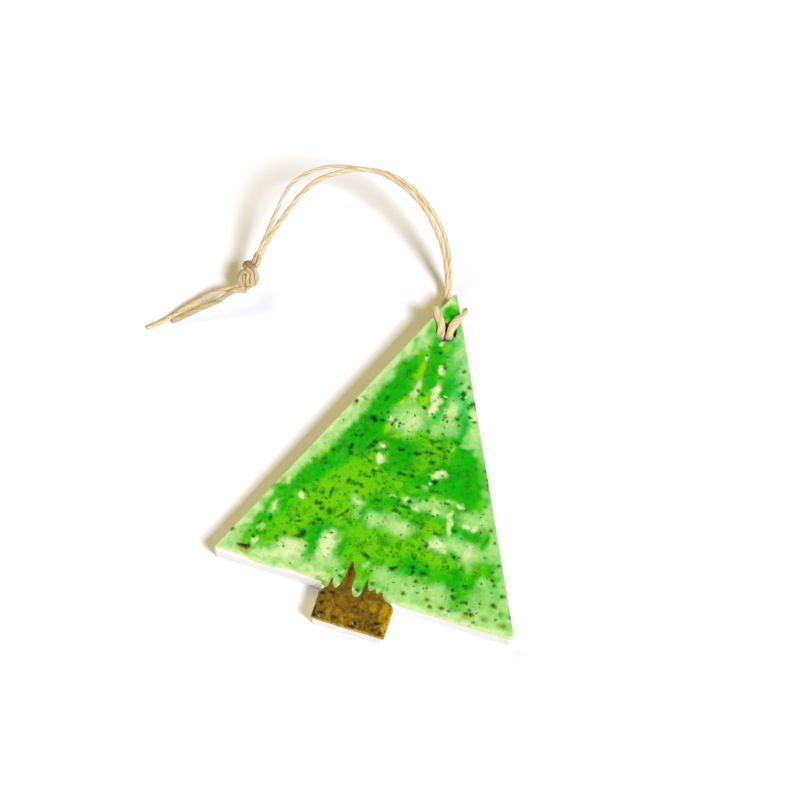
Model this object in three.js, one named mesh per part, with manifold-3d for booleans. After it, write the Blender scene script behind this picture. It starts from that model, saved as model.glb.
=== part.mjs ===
// A flat stoneware Christmas tree ornament, lying on its back, with a loop of hemp twine.
// Millimetres. +Z is up from the surface, and +Y runs along the tree towards its apex.
import * as THREE from 'three';
import { mergeVertices } from 'three/addons/utils/BufferGeometryUtils.js';
import Module from 'manifold-3d';

// The slab, cut by hand from rolled clay. Its sides are measured from the apex's centre line.
const tree_height = 77.6;
const base_left = 34.5;
const base_right = 37.6;
const trunk_width = 17.3;
const trunk_length = 8.5;
const trunk_offset = 0.8;
const clay_thickness = 5.8;
const worn_edge = 0.4;
const apex_radius = 0.5;
const base_corner_radius = 0.8;
const trunk_corner_radius = 0.6;

// The hole near the apex, which the twine passes through.
const hole_diameter = 4.5;
const hole_below_apex = 10.5;
const hole_offset = 0.8;

// The fired glaze on the front: green over the tree, brown over the trunk.
const coat_thickness = 0.3;
const coat_setback = 0.3;
const bare_rim = 0.4;
// The brown runs up over the base line in strokes: distance from the trunk's centre line, then
// height above the base line, from the trunk's right side to its left side.
const stroke_points = [
  [7.4, -0.2], [6.2, 0.3], [5.5, 1.7], [4.2, 1.1], [3.3, 2.2], [2.3, 1.2], [1.3, 4.2], [0.6, 0.2],
  [-0.4, -0.8], [-1.5, 0.3], [-2.4, 3.9], [-3.9, 6.9], [-4.2, 3.6], [-4.9, 0.8], [-5.6, 0.3],
  [-6.5, 2.0], [-7.2, 0.1],
];

// The twine and how it sits round the apex.
const twine_diameter = 1.0;
const clearance = 0.3;
const strands_apart = 1.4;
const neck_below_apex = 2.6;
const neck_slack = 0.15;
const neck_gap = 0.3;
const bight_below_apex = 5.3;
const knot_length = 7.4;
const knot_width = 4.4;
const knot_depth = 3.8;
const knot_centre = [-47.3, -8.5, 7.2];
const knot_direction = [0.16, 0.86, 0.48];

// The free strands as they lie: x and y from the neck, z above the surface.
const strand_a_route = [
  [-1.3, 4.7, 3.1], [-1.86, 6.85, 5.6], [-3.1, 9.27, 9.0], [-5.12, 11.96, 12.3],
  [-7.91, 14.6, 15.1], [-11.23, 17.14, 17.6], [-15.1, 18.94, 19.4], [-18.85, 19.99, 20.6],
  [-22.65, 20.4, 21.3], [-26.13, 20.13, 21.7], [-29.61, 18.91, 21.9], [-33.12, 17.25, 21.6],
  [-36.43, 15.04, 20.7], [-39.25, 11.98, 19.0], [-41.56, 7.68, 16.6], [-43.76, 2.9, 13.6],
  [-45.26, -1.62, 10.9], [-46.5, -5.4, 9.1], [-47.1, -8.0, 7.6],
];
const strand_b_route = [
  [-0.1, 5.1, 3.1], [-1.2, 7.47, 4.6], [-2.36, 10.11, 8.25], [-4.14, 12.84, 12.07],
  [-7.01, 15.71, 15.1], [-10.64, 18.28, 17.18], [-14.52, 20.15, 19.27], [-18.73, 21.33, 20.42],
  [-22.85, 21.64, 20.72], [-27.34, 20.99, 21.08], [-31.69, 19.76, 22.1], [-36.26, 17.89, 21.7],
  [-40.16, 15.37, 20.6], [-43.17, 11.89, 18.7], [-44.43, 6.9, 16.2], [-45.6, 1.9, 12.7],
  [-46.6, -2.1, 10.4], [-47.7, -5.8, 9.0], [-47.7, -8.4, 7.4],
];
const tail_a_route = [
  [-47.2, -9.3, 6.9], [-49.3, -10.5, 5.9], [-52.5, -12.6, 4.6], [-56.8, -15.7, 3.1],
  [-61.28, -20.14, 1.7], [-64.58, -23.57, 0.9], [-67.3, -25.9, 0.6],
];
const tail_b_route = [
  [-46.9, -11.0, 6.0], [-48.9, -12.2, 5.5], [-51.74, -14.59, 4.6], [-54.66, -16.82, 3.3],
  [-57.43, -18.99, 2.3], [-59.85, -20.77, 1.4], [-62.11, -22.39, 0.62],
];

// How finely the curves are cut into facets.
const corner_segments = 4;
const hole_sides = 24;
const twine_sides = 8;
const hitch_step = 0.8;
const strand_step = 3.0;

const wasm = await Module();
wasm.setup();

function toSolid(geometry) {
  const bare = geometry.clone();
  bare.deleteAttribute('normal');
  bare.deleteAttribute('uv');
  const merged = mergeVertices(bare, 1e-4);
  const vertProperties = new Float32Array(merged.attributes.position.array);
  const triVerts = new Uint32Array(merged.index.array);
  return new wasm.Manifold(new wasm.Mesh({ numProp: 3, vertProperties, triVerts }));
}

function cut(geometry, cutter) {
  const mesh = toSolid(geometry).subtract(toSolid(cutter)).getMesh();
  const result = new THREE.BufferGeometry();
  result.setAttribute('position', new THREE.BufferAttribute(new Float32Array(mesh.vertProperties), 3));
  result.setIndex(new THREE.BufferAttribute(new Uint32Array(mesh.triVerts), 1));
  result.computeVertexNormals();
  return result;
}

// A closed outline whose corners, given as x, y and radius, are rounded off.
function roundedShape(corners) {
  const shape = new THREE.Shape();
  corners.forEach(([x, y, radius], index) => {
    const corner = new THREE.Vector2(x, y);
    const [fromX, fromY] = corners[(index + corners.length - 1) % corners.length];
    const [toX, toY] = corners[(index + 1) % corners.length];
    const back = new THREE.Vector2(fromX, fromY).sub(corner).normalize();
    const ahead = new THREE.Vector2(toX, toY).sub(corner).normalize();
    const half = Math.acos(back.dot(ahead)) / 2;
    const centre = back.clone().add(ahead).setLength(radius / Math.sin(half)).add(corner);
    const start = back.clone().multiplyScalar(radius / Math.tan(half)).add(corner);
    const end = ahead.clone().multiplyScalar(radius / Math.tan(half)).add(corner);
    if (index === 0) {
      shape.moveTo(start.x, start.y);
    } else {
      shape.lineTo(start.x, start.y);
    }
    if (radius > 0) {
      const from = start.sub(centre).angle();
      const to = end.sub(centre).angle();
      shape.absarc(centre.x, centre.y, radius, from, to, back.cross(ahead) > 0);
    }
  });
  shape.closePath();
  return shape;
}

function addHole(shape, radius) {
  const rim = new THREE.EllipseCurve(hole_offset, -hole_below_apex, radius, radius, 0, 2 * Math.PI);
  const points = rim.getPoints(hole_sides).slice(0, hole_sides);
  shape.holes.push(new THREE.Path(points).closePath());
  return shape;
}

// The apex is the origin of the outlines, and their z starts at the slab's back face.
const base_y = -tree_height;
const trunk_left = trunk_offset - trunk_width / 2;
const trunk_right = trunk_offset + trunk_width / 2;
const trunk_end = base_y - trunk_length;

function makeSlab() {
  const outline = roundedShape([
    [0, 0, apex_radius],
    [-base_left, base_y, base_corner_radius],
    [trunk_left, base_y, 0],
    [trunk_left, trunk_end, 0],
    [trunk_right, trunk_end, trunk_corner_radius],
    [trunk_right, base_y, 0],
    [base_right, base_y, base_corner_radius],
  ]);
  const slab = new THREE.ExtrudeGeometry(addHole(outline, hole_diameter / 2), {
    depth: clay_thickness - 2 * worn_edge,
    curveSegments: corner_segments,
    bevelThickness: worn_edge,
    bevelSize: worn_edge,
    bevelOffset: -worn_edge,
    bevelSegments: 2,
  });
  return slab.translate(0, 0, worn_edge);
}

// A thin layer on the slab's front, drawn in from the given outline by a set distance.
function makeCoat(shape, drawn_in) {
  const softened = coat_thickness / 4;
  const coat = new THREE.ExtrudeGeometry(shape, {
    depth: coat_thickness - 2 * softened,
    curveSegments: corner_segments,
    bevelThickness: softened,
    bevelSize: softened,
    bevelOffset: -drawn_in - softened,
    bevelSegments: 1,
  });
  return coat.translate(0, 0, clay_thickness + clearance + softened);
}

function brownShape() {
  const strokes = stroke_points.map(([x, y]) => [trunk_offset + x, base_y + y, 0]);
  return roundedShape([
    [trunk_left, trunk_end, 0],
    [trunk_right, trunk_end, trunk_corner_radius],
    [trunk_right, base_y - trunk_length / 8, 0],
    ...strokes,
    [trunk_left, base_y - trunk_length / 6, 0],
  ]);
}

function makeBrownGlaze() {
  return makeCoat(brownShape(), coat_setback);
}

function makeGreenGlaze() {
  const outline = roundedShape([
    [0, 0, apex_radius + coat_setback],
    [-base_left, base_y, base_corner_radius],
    [base_right, base_y, base_corner_radius],
  ]);
  const brown_area = new THREE.ExtrudeGeometry(brownShape(), {
    depth: clay_thickness,
    bevelEnabled: false,
  });
  const tree = makeCoat(addHole(outline, hole_diameter / 2 + bare_rim), coat_setback);
  return cut(tree, brown_area.translate(0, 0, clay_thickness / 2));
}

// The twine is a tube along a curve through its route's points.
function makeTwine(points, step) {
  const path = new THREE.CatmullRomCurve3(points, false, 'centripetal');
  const section = new THREE.Shape();
  section.absarc(0, 0, twine_diameter / 2, 0, 2 * Math.PI, false);
  const tube = new THREE.ExtrudeGeometry(section, {
    steps: Math.round(path.getLength() / step),
    curveSegments: twine_sides / 2,
    extrudePath: path,
  });
  return { tube, path };
}

// Places round the apex: down along a side from the apex, out from that side, and a height.
const left_side = new THREE.Vector2(-base_left, base_y).normalize();
const left_out = new THREE.Vector2(left_side.y, -left_side.x);
const right_side = new THREE.Vector2(base_right, base_y).normalize();
const right_out = new THREE.Vector2(-right_side.y, right_side.x);

function beside(side, outward, down, out, z) {
  const place = side.clone().multiplyScalar(down).addScaledVector(outward, out);
  return new THREE.Vector3(place.x, place.y, z);
}

// Heights of the twine's centre line: over the front, behind the slab, and behind both strands.
const twine_radius = twine_diameter / 2;
const slab_front = clay_thickness + clearance + coat_thickness;
const over_front = slab_front + clearance + twine_radius;
const behind_slab = -clearance - twine_radius;
const behind_strands = behind_slab - twine_diameter - clearance;
const past_edge = clearance + twine_radius;

// The two strands leave side by side under the left side and cross it at a slant.
const neck_out = past_edge + neck_slack;
const neck_middle = beside(left_side, left_out, neck_below_apex, neck_out, behind_slab);
const in_hole = new THREE.Vector3(hole_offset, 0.9 * twine_diameter - hole_below_apex, 0);
const strand_line = new THREE.Vector2(neck_middle.x - in_hole.x, neck_middle.y - in_hole.y).normalize();
const slant = Math.abs(strand_line.cross(left_side));
const neck_spread = strands_apart / slant / 2;
const neck_a = beside(left_side, left_out, neck_below_apex + neck_spread, neck_out, behind_slab);
const neck_b = beside(left_side, left_out, neck_below_apex - neck_spread, neck_out, behind_slab);

function inHole(side, up, z) {
  return new THREE.Vector3(hole_offset + side * strands_apart / 2, in_hole.y + up, z);
}

// From the neck under the slab, up through the hole, round the left side, across behind the
// strands, round the right side and back down through the hole to the neck. The bends are set in
// diameters of the twine, d.
function hitchRoute() {
  const d = twine_diameter;
  const entry_a = inHole(-1, 1.2 * d, behind_slab);
  const entry_b = inHole(1, 1.1 * d, behind_slab);
  const middle = slab_front / 2;
  return [
    neck_a,
    neck_a.clone().lerp(entry_a, 0.35),
    neck_a.clone().lerp(entry_a, 0.75),
    inHole(-1, 0.95 * d, behind_slab + 0.1 * d),
    inHole(-1, 0.1 * d, 0.6 * d),
    inHole(-1, 0, middle),
    inHole(-1, 0, slab_front - 0.6 * d),
    inHole(-1.2, 0.3 * d, over_front - 0.25 * d),
    inHole(-2.1, 0.9 * d, over_front + 0.1 * d),
    beside(left_side, left_out, 7.8 * d, -0.75 * d, over_front + 0.05 * d),
    beside(left_side, left_out, 6.5 * d, 0.7 * d, over_front - 0.1 * d),
    beside(left_side, left_out, 6.2 * d, past_edge + 0.35 * d, slab_front - 0.4 * d),
    beside(left_side, left_out, 6.3 * d, past_edge + 0.3 * d, middle),
    beside(left_side, left_out, 6.3 * d, past_edge + 0.25 * d, 0.2 * d),
    beside(left_side, left_out, 6.0 * d, past_edge, behind_slab),
    beside(left_side, left_out, bight_below_apex, -0.5 * d, behind_strands),
    beside(right_side, right_out, 4.2 * d, -1.5 * d, behind_strands),
    beside(right_side, right_out, 3.7 * d, 0.3 * d, behind_strands + 0.3 * d),
    beside(right_side, right_out, 3.5 * d, past_edge + 0.4 * d, behind_slab + 0.6 * d),
    beside(right_side, right_out, 3.6 * d, past_edge + 0.7 * d, middle),
    beside(right_side, right_out, 4.2 * d, past_edge + 1.3 * d, slab_front - 0.8 * d),
    beside(right_side, right_out, 5.0 * d, past_edge + 1.2 * d, slab_front + 0.2 * d),
    beside(right_side, right_out, 6.2 * d, past_edge + 0.1 * d, over_front - 0.1 * d),
    beside(right_side, right_out, 7.6 * d, -1.1 * d, over_front + 0.1 * d),
    inHole(1.3, 1.2 * d, over_front + 0.1 * d),
    inHole(1, 0.3 * d, over_front - 0.3 * d),
    inHole(1, 0, slab_front - 0.7 * d),
    inHole(1, 0, middle),
    inHole(1, 0.1 * d, 0.6 * d),
    inHole(1, 0.9 * d, behind_slab + 0.1 * d),
    neck_b.clone().lerp(entry_b, 0.75),
    neck_b.clone().lerp(entry_b, 0.35),
    neck_b,
  ];
}

// The last stretch of a route, shortened so that it ends a set distance before its neck.
function stopShort(from, neck, distance) {
  const back = from.clone().sub(neck).setLength(distance);
  return neck.clone().add(back);
}

function makeHitch() {
  const route = hitchRoute();
  const last = route.length - 1;
  route[0] = stopShort(route[1], route[0], neck_gap);
  route[last] = stopShort(route[last - 1], route[last], neck_gap);
  return makeTwine(route, hitch_step);
}

function makeKnot(growth) {
  const knot = new THREE.SphereGeometry(0.5, 14, 10);
  knot.scale(knot_width + 2 * growth, knot_length + 2 * growth, knot_depth + 2 * growth);
  const along = new THREE.Vector3(...knot_direction).normalize();
  const turn = new THREE.Quaternion().setFromUnitVectors(new THREE.Vector3(0, 1, 0), along);
  return knot.applyQuaternion(turn).translate(...knot_centre);
}

function part(name, geometry, color, roughness) {
  const material = new THREE.MeshStandardMaterial({ color, roughness, metalness: 0 });
  const mesh = new THREE.Mesh(geometry, material);
  mesh.name = name;
  return mesh;
}

const clay_white = 0xfbf8f2;
const glaze_green = 0x3fc514;
const glaze_brown = 0x7d5c06;
const hemp = 0xdcc08a;

// The steepest line from the trunk's lower edge down to the twine behind the apex.
function leanAngle(twine) {
  const places = twine.attributes.position;
  let lean = 0;
  for (let index = 0; index < places.count; index += 1) {
    const along = places.getY(index) - trunk_end - worn_edge;
    lean = Math.max(lean, Math.atan2(-places.getZ(index), along));
  }
  return lean;
}

// The slab leans back a little: its trunk rests on the surface and its apex on the hitch.
const hitch = makeHitch();
const leaning = new THREE.Group();
leaning.add(part('ceramic_tree', makeSlab(), clay_white, 0.85));
leaning.add(part('green_glaze', makeGreenGlaze(), glaze_green, 0.12));
leaning.add(part('brown_glaze', makeBrownGlaze(), glaze_brown, 0.2));
leaning.add(part('hitch', hitch.tube, hemp, 0.9));
leaning.rotation.x = leanAngle(hitch.tube);

// The slab and the hitch stand on z = 0 with their middle over the origin.
const standing = new THREE.Box3().setFromObject(leaning, true);
const middle = standing.getCenter(new THREE.Vector3());
leaning.position.set(-middle.x, -middle.y, -standing.min.z);
leaning.updateMatrixWorld(true);

// The free part of the loop starts at the neck and turns about the line through both strands.
const neck = leaning.localToWorld(neck_middle.clone());
const loop = new THREE.Group();
loop.position.set(neck.x, neck.y, 0);
loop.updateMatrixWorld(true);

function strandFromNeck(neck_point, route) {
  const start = loop.worldToLocal(leaning.localToWorld(neck_point.clone()));
  const points = route.map((place) => new THREE.Vector3(...place));
  const first = stopShort(points[0], start, neck_gap);
  return makeTwine([first, ...points], strand_step).tube;
}

function tail(route) {
  const points = route.map((place) => new THREE.Vector3(...place));
  return makeTwine(points, strand_step).tube;
}

const knot_room = makeKnot(clearance);
const strand_a = strandFromNeck(neck_a, strand_a_route);
const strand_b = strandFromNeck(neck_b, strand_b_route);
loop.add(part('loop_strand_a', cut(strand_a, knot_room), hemp, 0.9));
loop.add(part('loop_strand_b', cut(strand_b, knot_room), hemp, 0.9));
loop.add(part('knot', makeKnot(0), hemp, 0.9));
loop.add(part('tail_a', cut(tail(tail_a_route), knot_room), hemp, 0.9));
loop.add(part('tail_b', cut(tail(tail_b_route), knot_room), hemp, 0.9));

const ornament = new THREE.Group();
ornament.add(leaning, loop);

export default ornament;
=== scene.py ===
# %% [markdown]
# # A glazed clay tree on a loop of hemp twine
# This script builds a hand-cut Christmas tree ornament. It lies on its back under soft light: a flat
# slab of white clay, a mottled green glaze coat, a brown glaze coat on the trunk, and one length of
# twine, tied through the hole with a lark's head and closed with an overhand knot.
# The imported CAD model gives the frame. It is in metres, and this script works in millimetres.

import bpy
import numpy as np
from mathutils import Matrix, Vector
from mathutils.geometry import delaunay_2d_cdt


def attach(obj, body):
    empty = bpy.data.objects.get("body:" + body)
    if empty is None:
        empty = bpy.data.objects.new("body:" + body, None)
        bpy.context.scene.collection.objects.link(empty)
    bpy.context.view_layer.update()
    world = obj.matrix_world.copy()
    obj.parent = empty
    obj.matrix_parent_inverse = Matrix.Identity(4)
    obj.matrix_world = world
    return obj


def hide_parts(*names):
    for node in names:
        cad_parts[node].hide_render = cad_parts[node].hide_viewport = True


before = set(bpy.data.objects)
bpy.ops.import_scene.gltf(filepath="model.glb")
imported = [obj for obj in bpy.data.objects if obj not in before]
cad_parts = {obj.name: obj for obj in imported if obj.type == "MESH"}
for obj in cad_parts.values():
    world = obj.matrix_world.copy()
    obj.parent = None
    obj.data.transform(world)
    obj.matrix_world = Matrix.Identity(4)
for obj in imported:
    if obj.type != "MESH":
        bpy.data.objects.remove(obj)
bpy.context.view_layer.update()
MM = 0.001
TAU = 2 * np.pi

# %% [markdown]
# ## Colours and shader nodes
# Colours are written as sRGB hex values and turned to linear light by one function. One more adds a
# shader node with its settings and links, one starts a material, and one ends it with its colour and
# its relief.


# %% Colours and nodes
def linear(code):
    """Linear RGBA of an sRGB hex code: c / 12.92 up to 0.04045, above it ((c + 0.055) / 1.055) ^ 2.4."""
    c = np.array([int(code[i : i + 2], 16) for i in (1, 3, 5)]) / 255
    rgb = np.where(c <= 0.04045, c / 12.92, ((c + 0.055) / 1.055) ** 2.4)
    return (*rgb.tolist(), 1.0)


def put(tree, kind, inputs=None, **settings):
    """Adds one shader node. inputs gives each socket a value or another node's output."""
    node = tree.nodes.new("ShaderNode" + kind)
    for name, value in settings.items():
        setattr(node, name, value)
    for key, value in (inputs or {}).items():
        if isinstance(value, bpy.types.NodeSocket):
            tree.links.new(value, node.inputs[key])
        else:
            node.inputs[key].default_value = value
    return node


def new_material(name, **sockets):
    """A material with the values of its surface shader's own sockets."""
    material = bpy.data.materials.new(name)
    material.use_nodes = True
    shader = material.node_tree.nodes["Principled BSDF"]
    for key, value in sockets.items():
        shader.inputs[key.replace("_", " ")].default_value = value
    return material, material.node_tree, shader


def colour_and_relief(tree, shader, colour, height, strength, depth):
    """Gives the surface its colour and a fine relief from a height pattern, depth mm deep."""
    bump = put(tree, "Bump", {"Height": height, "Strength": strength, "Distance": depth * MM})
    tree.links.new(colour, shader.inputs["Base Color"])
    tree.links.new(bump.outputs["Normal"], shader.inputs["Normal"])


# %% [markdown]
# ## Meshes
# Whole numpy arrays go into a mesh at once, without a loop over points. The faces are turned
# outwards: the signed volume of a closed surface is negative when they point inwards.


# %% Meshes from arrays
def signed_volume(points, faces):
    """A sixth of the sum of a . (b x c) over the triangles of every face."""
    total = 0.0
    for group in faces:
        a = points[group[:, 0]]
        for k in range(1, group.shape[1] - 1):
            b, c = points[group[:, k]], points[group[:, k + 1]]
            total += np.einsum("ij,ij->", a, np.cross(b, c)) / 6
    return total


def build(name, points, faces, material, attributes=None):
    """A mesh object from points (n, 3) in mm and groups of faces (m, 3) or (m, 4)."""
    volume = signed_volume(points, faces)
    if volume < 0:
        faces = [group[:, ::-1] for group in faces]
    corners = np.concatenate([group.ravel() for group in faces])
    sizes = np.concatenate([np.full(len(group), group.shape[1]) for group in faces])
    mesh = bpy.data.meshes.new(name)
    mesh.vertices.add(len(points))
    mesh.vertices.foreach_set("co", (points * MM).astype(np.float32).ravel())
    mesh.loops.add(len(corners))
    mesh.loops.foreach_set("vertex_index", corners.astype(np.int32))
    mesh.polygons.add(len(sizes))
    mesh.polygons.foreach_set("loop_start", np.r_[0, np.cumsum(sizes)[:-1]].astype(np.int32))
    mesh.polygons.foreach_set("use_smooth", np.ones(len(sizes), bool))
    mesh.update(calc_edges=True)
    for key, values in (attributes or {}).items():
        kind, slot = ("FLOAT", "value") if values.ndim == 1 else ("FLOAT_VECTOR", "vector")
        layer = mesh.attributes.new(key, kind, "POINT")
        layer.data.foreach_set(slot, values.astype(np.float32).ravel())
    mesh.validate()
    mesh.materials.append(material)
    made = bpy.data.objects.new(name, mesh)
    bpy.context.scene.collection.objects.link(made)
    print(f"{name}: {len(points)} points, {int((sizes - 2).sum())} triangles, {abs(volume):.0f} cubic mm")
    return made


# %% [markdown]
# ## Hand-made unevenness
# Nothing hand-made is quite straight or even. A few plane waves with seeded directions add up to a
# smooth unevenness of a chosen wavelength in mm, the same on each run.


# %% Smooth noise
def ripple(x, y, wavelength, seed, waves=20):
    """Smooth seeded noise, mostly -1 to 1: plane waves of about one length in random directions."""
    rng = np.random.default_rng(seed)
    turn = rng.uniform(0, TAU, waves)
    rate = TAU / (wavelength * rng.uniform(0.7, 1.5, waves))
    shift = rng.uniform(0, TAU, waves)
    total = np.zeros(np.shape(x))
    for t, r, s in zip(turn, rate, shift):
        total += np.cos(r * (x * np.cos(t) + y * np.sin(t)) + s)
    return total * np.sqrt(1.2 / waves)


def smoothstep(low, high, value):
    """0 up to low, 1 from high on, and t * t * (3 - 2 * t) between them."""
    t = np.clip((value - low) / (high - low), 0, 1)
    return t * t * (3 - 2 * t)


# %% [markdown]
# ## Camera
# The camera was fitted to the corners of the slab in the photograph. It looks 67 degrees down, from
# half a metre away, and is turned 17.65 degrees round the vertical. Looking direction, right and up
# are the three axes of its matrix.

# %% Place the camera
CAMERA_AZIMUTH = np.radians(17.65)
CAMERA_ELEVATION = np.radians(67.0)
CAMERA_DISTANCE = 500.0
LENS = 94.5
SENSOR_WIDTH = 36.0
LOOK_AT = np.array([-7.03, 16.36, 0.0])

flat = np.cos(CAMERA_ELEVATION)
ahead = np.array([-np.sin(CAMERA_AZIMUTH), np.cos(CAMERA_AZIMUTH)])
looking = np.array([*(ahead * flat), -np.sin(CAMERA_ELEVATION)])
right = np.array([ahead[1], -ahead[0], 0.0])
up = np.cross(right, looking)
place = (LOOK_AT - looking * CAMERA_DISTANCE) * MM

camera_data = bpy.data.cameras.new("camera")
camera_data.sensor_width = SENSOR_WIDTH
camera_data.lens = LENS
camera_data.clip_start = 0.01
camera = bpy.data.objects.new("camera", camera_data)
camera.matrix_world = Matrix.Translation(place) @ Matrix(np.c_[right, up, -looking].tolist()).to_4x4()
bpy.context.scene.collection.objects.link(camera)
bpy.context.scene.camera = camera
bpy.context.scene.view_settings.view_transform = "Standard"
print("camera at", [round(value, 1) for value in place / MM], "mm")

# %% [markdown]
# ## The route of the twine
# One length of hemp twine makes the loop. From the tip of one tail it runs through the knot, over the
# arch to the neck, up through the hole, round both sides of the apex behind the standing strands, and
# back over the arch and through the knot to the other tip. The route lies where the CAD's twine lies.
# The hitch is given in the slab's own frame, whose origin is the apex on the back face. The slab leans
# back by 1.9 degrees, because the twine lies under its apex, and to_row lays its points in that lean.

# %% From the slab's frame to the row frame
LEAN = np.radians(1.9150113)
APEX_AT = np.array([-1.527945, 43.466164, 2.863839])
NECK_AT = np.array([-3.452263, 41.504160, 0.0])


def to_row(points):
    """Turns slab points about x by the lean and moves them to the apex's place."""
    x, y, z = np.asarray(points, float).T
    c, s = np.cos(LEAN), np.sin(LEAN)
    return np.c_[x, y * c - z * s, y * s + z * c] + APEX_AT


print("the slab leans by", round(float(np.degrees(LEAN)), 2), "degrees")

# %% [markdown]
# ## Where the twine runs
# Strands, knot and tails are given from the neck, where both strands leave the slab. They were placed
# so that the camera sees them on the photograph's twine; their height comes from the shadows. The
# knot is two strands tied together in an overhand knot. It could be simulated as a rope drawn tight,
# but a table gives the same knot on each run, and each point of it can be moved.

# %% Points of the route in mm
STRAND_A = [
    (-1.3, 4.7, 3.1), (-1.8, 6.67, 5.6), (-3.11, 9.3, 9.0), (-5.15, 12.0, 12.3), (-7.95, 14.64, 15.1),
    (-11.28, 17.18, 17.6), (-15.0, 18.89, 19.4), (-18.92, 20.11, 20.6), (-22.69, 20.75, 21.3),
    (-26.18, 20.43, 21.7), (-29.69, 19.26, 21.9), (-33.22, 17.19, 21.6), (-36.39, 15.09, 20.7),
    (-39.29, 11.84, 19.0), (-41.55, 7.71, 16.6), (-43.76, 2.93, 13.6), (-45.25, -1.62, 10.9),
]
STRAND_B = [
    (-0.64, 5.15, 2.5), (-1.16, 7.18, 4.95), (-2.3, 9.93, 8.66), (-4.1, 12.72, 12.2), (-6.99, 15.69, 15.1),
    (-10.56, 18.09, 17.6), (-14.47, 20.04, 19.3), (-18.73, 21.17, 20.38), (-22.87, 21.5, 20.65),
    (-27.14, 20.86, 20.8), (-31.49, 19.7, 21.7), (-36.13, 17.99, 21.7), (-40.18, 15.34, 20.6),
    (-43.1, 12.05, 18.7), (-44.43, 6.88, 16.2), (-45.37, 1.67, 12.96), (-46.08, -2.29, 10.73),
]
KNOT_A = [
    (-45.75, -3.9, 9.5), (-45.95, -5.0, 8.5), (-46.63, -5.72, 7.64), (-47.62, -5.95, 7.91),
    (-47.88, -5.84, 8.90), (-47.02, -6.30, 8.72), (-46.19, -6.61, 8.04), (-45.5, -7.6, 7.4),
    (-45.15, -8.8, 6.85), (-45.5, -9.5, 6.2), (-46.4, -9.0, 6.35), (-47.0, -7.8, 6.9),
    (-47.8, -6.75, 7.4), (-48.45, -7.6, 7.2), (-48.05, -8.93, 6.95), (-47.55, -9.86, 6.5),
    (-46.90, -10.64, 6.04), (-47.12, -11.48, 5.66), (-48.23, -11.52, 5.63),
]
KNOT_B = [
    (-46.6, -3.7, 9.8), (-46.75, -4.75, 9.05), (-47.3, -5.08, 8.2), (-48.15, -5.15, 7.72),
    (-48.79, -5.85, 8.18), (-48.23, -6.68, 8.50), (-47.25, -7.14, 8.17), (-46.46, -7.9, 7.72),
    (-45.9, -9.2, 7.3), (-45.7, -10.3, 6.8), (-46.45, -10.3, 6.6), (-47.0, -9.2, 7.24),
    (-47.5, -7.9, 7.85), (-48.5, -7.8, 8.0), (-49.0, -8.8, 7.4), (-48.69, -9.87, 6.8),
    (-48.10, -10.74, 6.44), (-47.40, -11.58, 6.56), (-48.30, -12.15, 6.45),
]
TAIL_A = [
    (-49.6, -11.6, 5.6), (-52.5, -12.6, 4.6), (-56.8, -15.7, 3.1), (-61.28, -20.14, 1.7),
    (-64.58, -23.57, 0.9), (-67.3, -25.9, 0.66),
]
TAIL_B = [
    (-49.7, -12.7, 6.0), (-51.74, -14.59, 4.6), (-54.66, -16.7, 3.3), (-57.43, -18.8, 2.3),
    (-59.85, -20.6, 1.4), (-62.11, -22.39, 0.68),
]
HITCH = [
    (-2.34, -2.92, -0.8), (-1.49, -4.84, -0.8), (-0.51, -7.03, -0.8), (0.0, -8.65, -0.7),
    (-0.2, -10.1, 0.6), (-0.3, -11.3, 3.2), (-0.35, -11.6, 5.5), (-0.45, -10.7, 6.85),
    (-1.0, -8.9, 7.25), (-2.48, -7.1, 7.2), (-3.28, -5.56, 7.1), (-3.67, -5.1, 6.0),
    (-3.56, -5.31, 3.2), (-3.52, -5.33, 0.2), (-3.17, -5.16, -0.8), (-1.7, -5.05, -2.1),
    (0.48, -4.43, -2.1), (1.88, -3.2, -1.8), (2.61, -2.63, -0.2), (2.92, -2.59, 3.2),
    (3.62, -3.3, 5.6), (3.86, -4.1, 6.6), (3.4, -5.4, 7.1), (2.5, -7.2, 7.3),
    (1.95, -8.8, 7.25), (1.8, -10.6, 6.85), (1.7, -11.5, 5.5), (1.7, -11.2, 3.2),
    (1.6, -9.9, 0.6), (1.5, -8.7, -0.7), (0.75, -6.64, -0.8), (-0.46, -3.66, -0.8),
    (-1.51, -1.06, -0.8),
]
route = (TAIL_A, KNOT_A, STRAND_A, HITCH, STRAND_B, KNOT_B, TAIL_B)
print("points typed in for the twine:", sum(len(run) for run in route))

# %% [markdown]
# ## One curve for the whole length
# A cord bends smoothly and keeps its length, so all the points share one cubic spline, sampled at
# equal distances. Separate curves for its stretches would kink where they meet.


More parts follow.
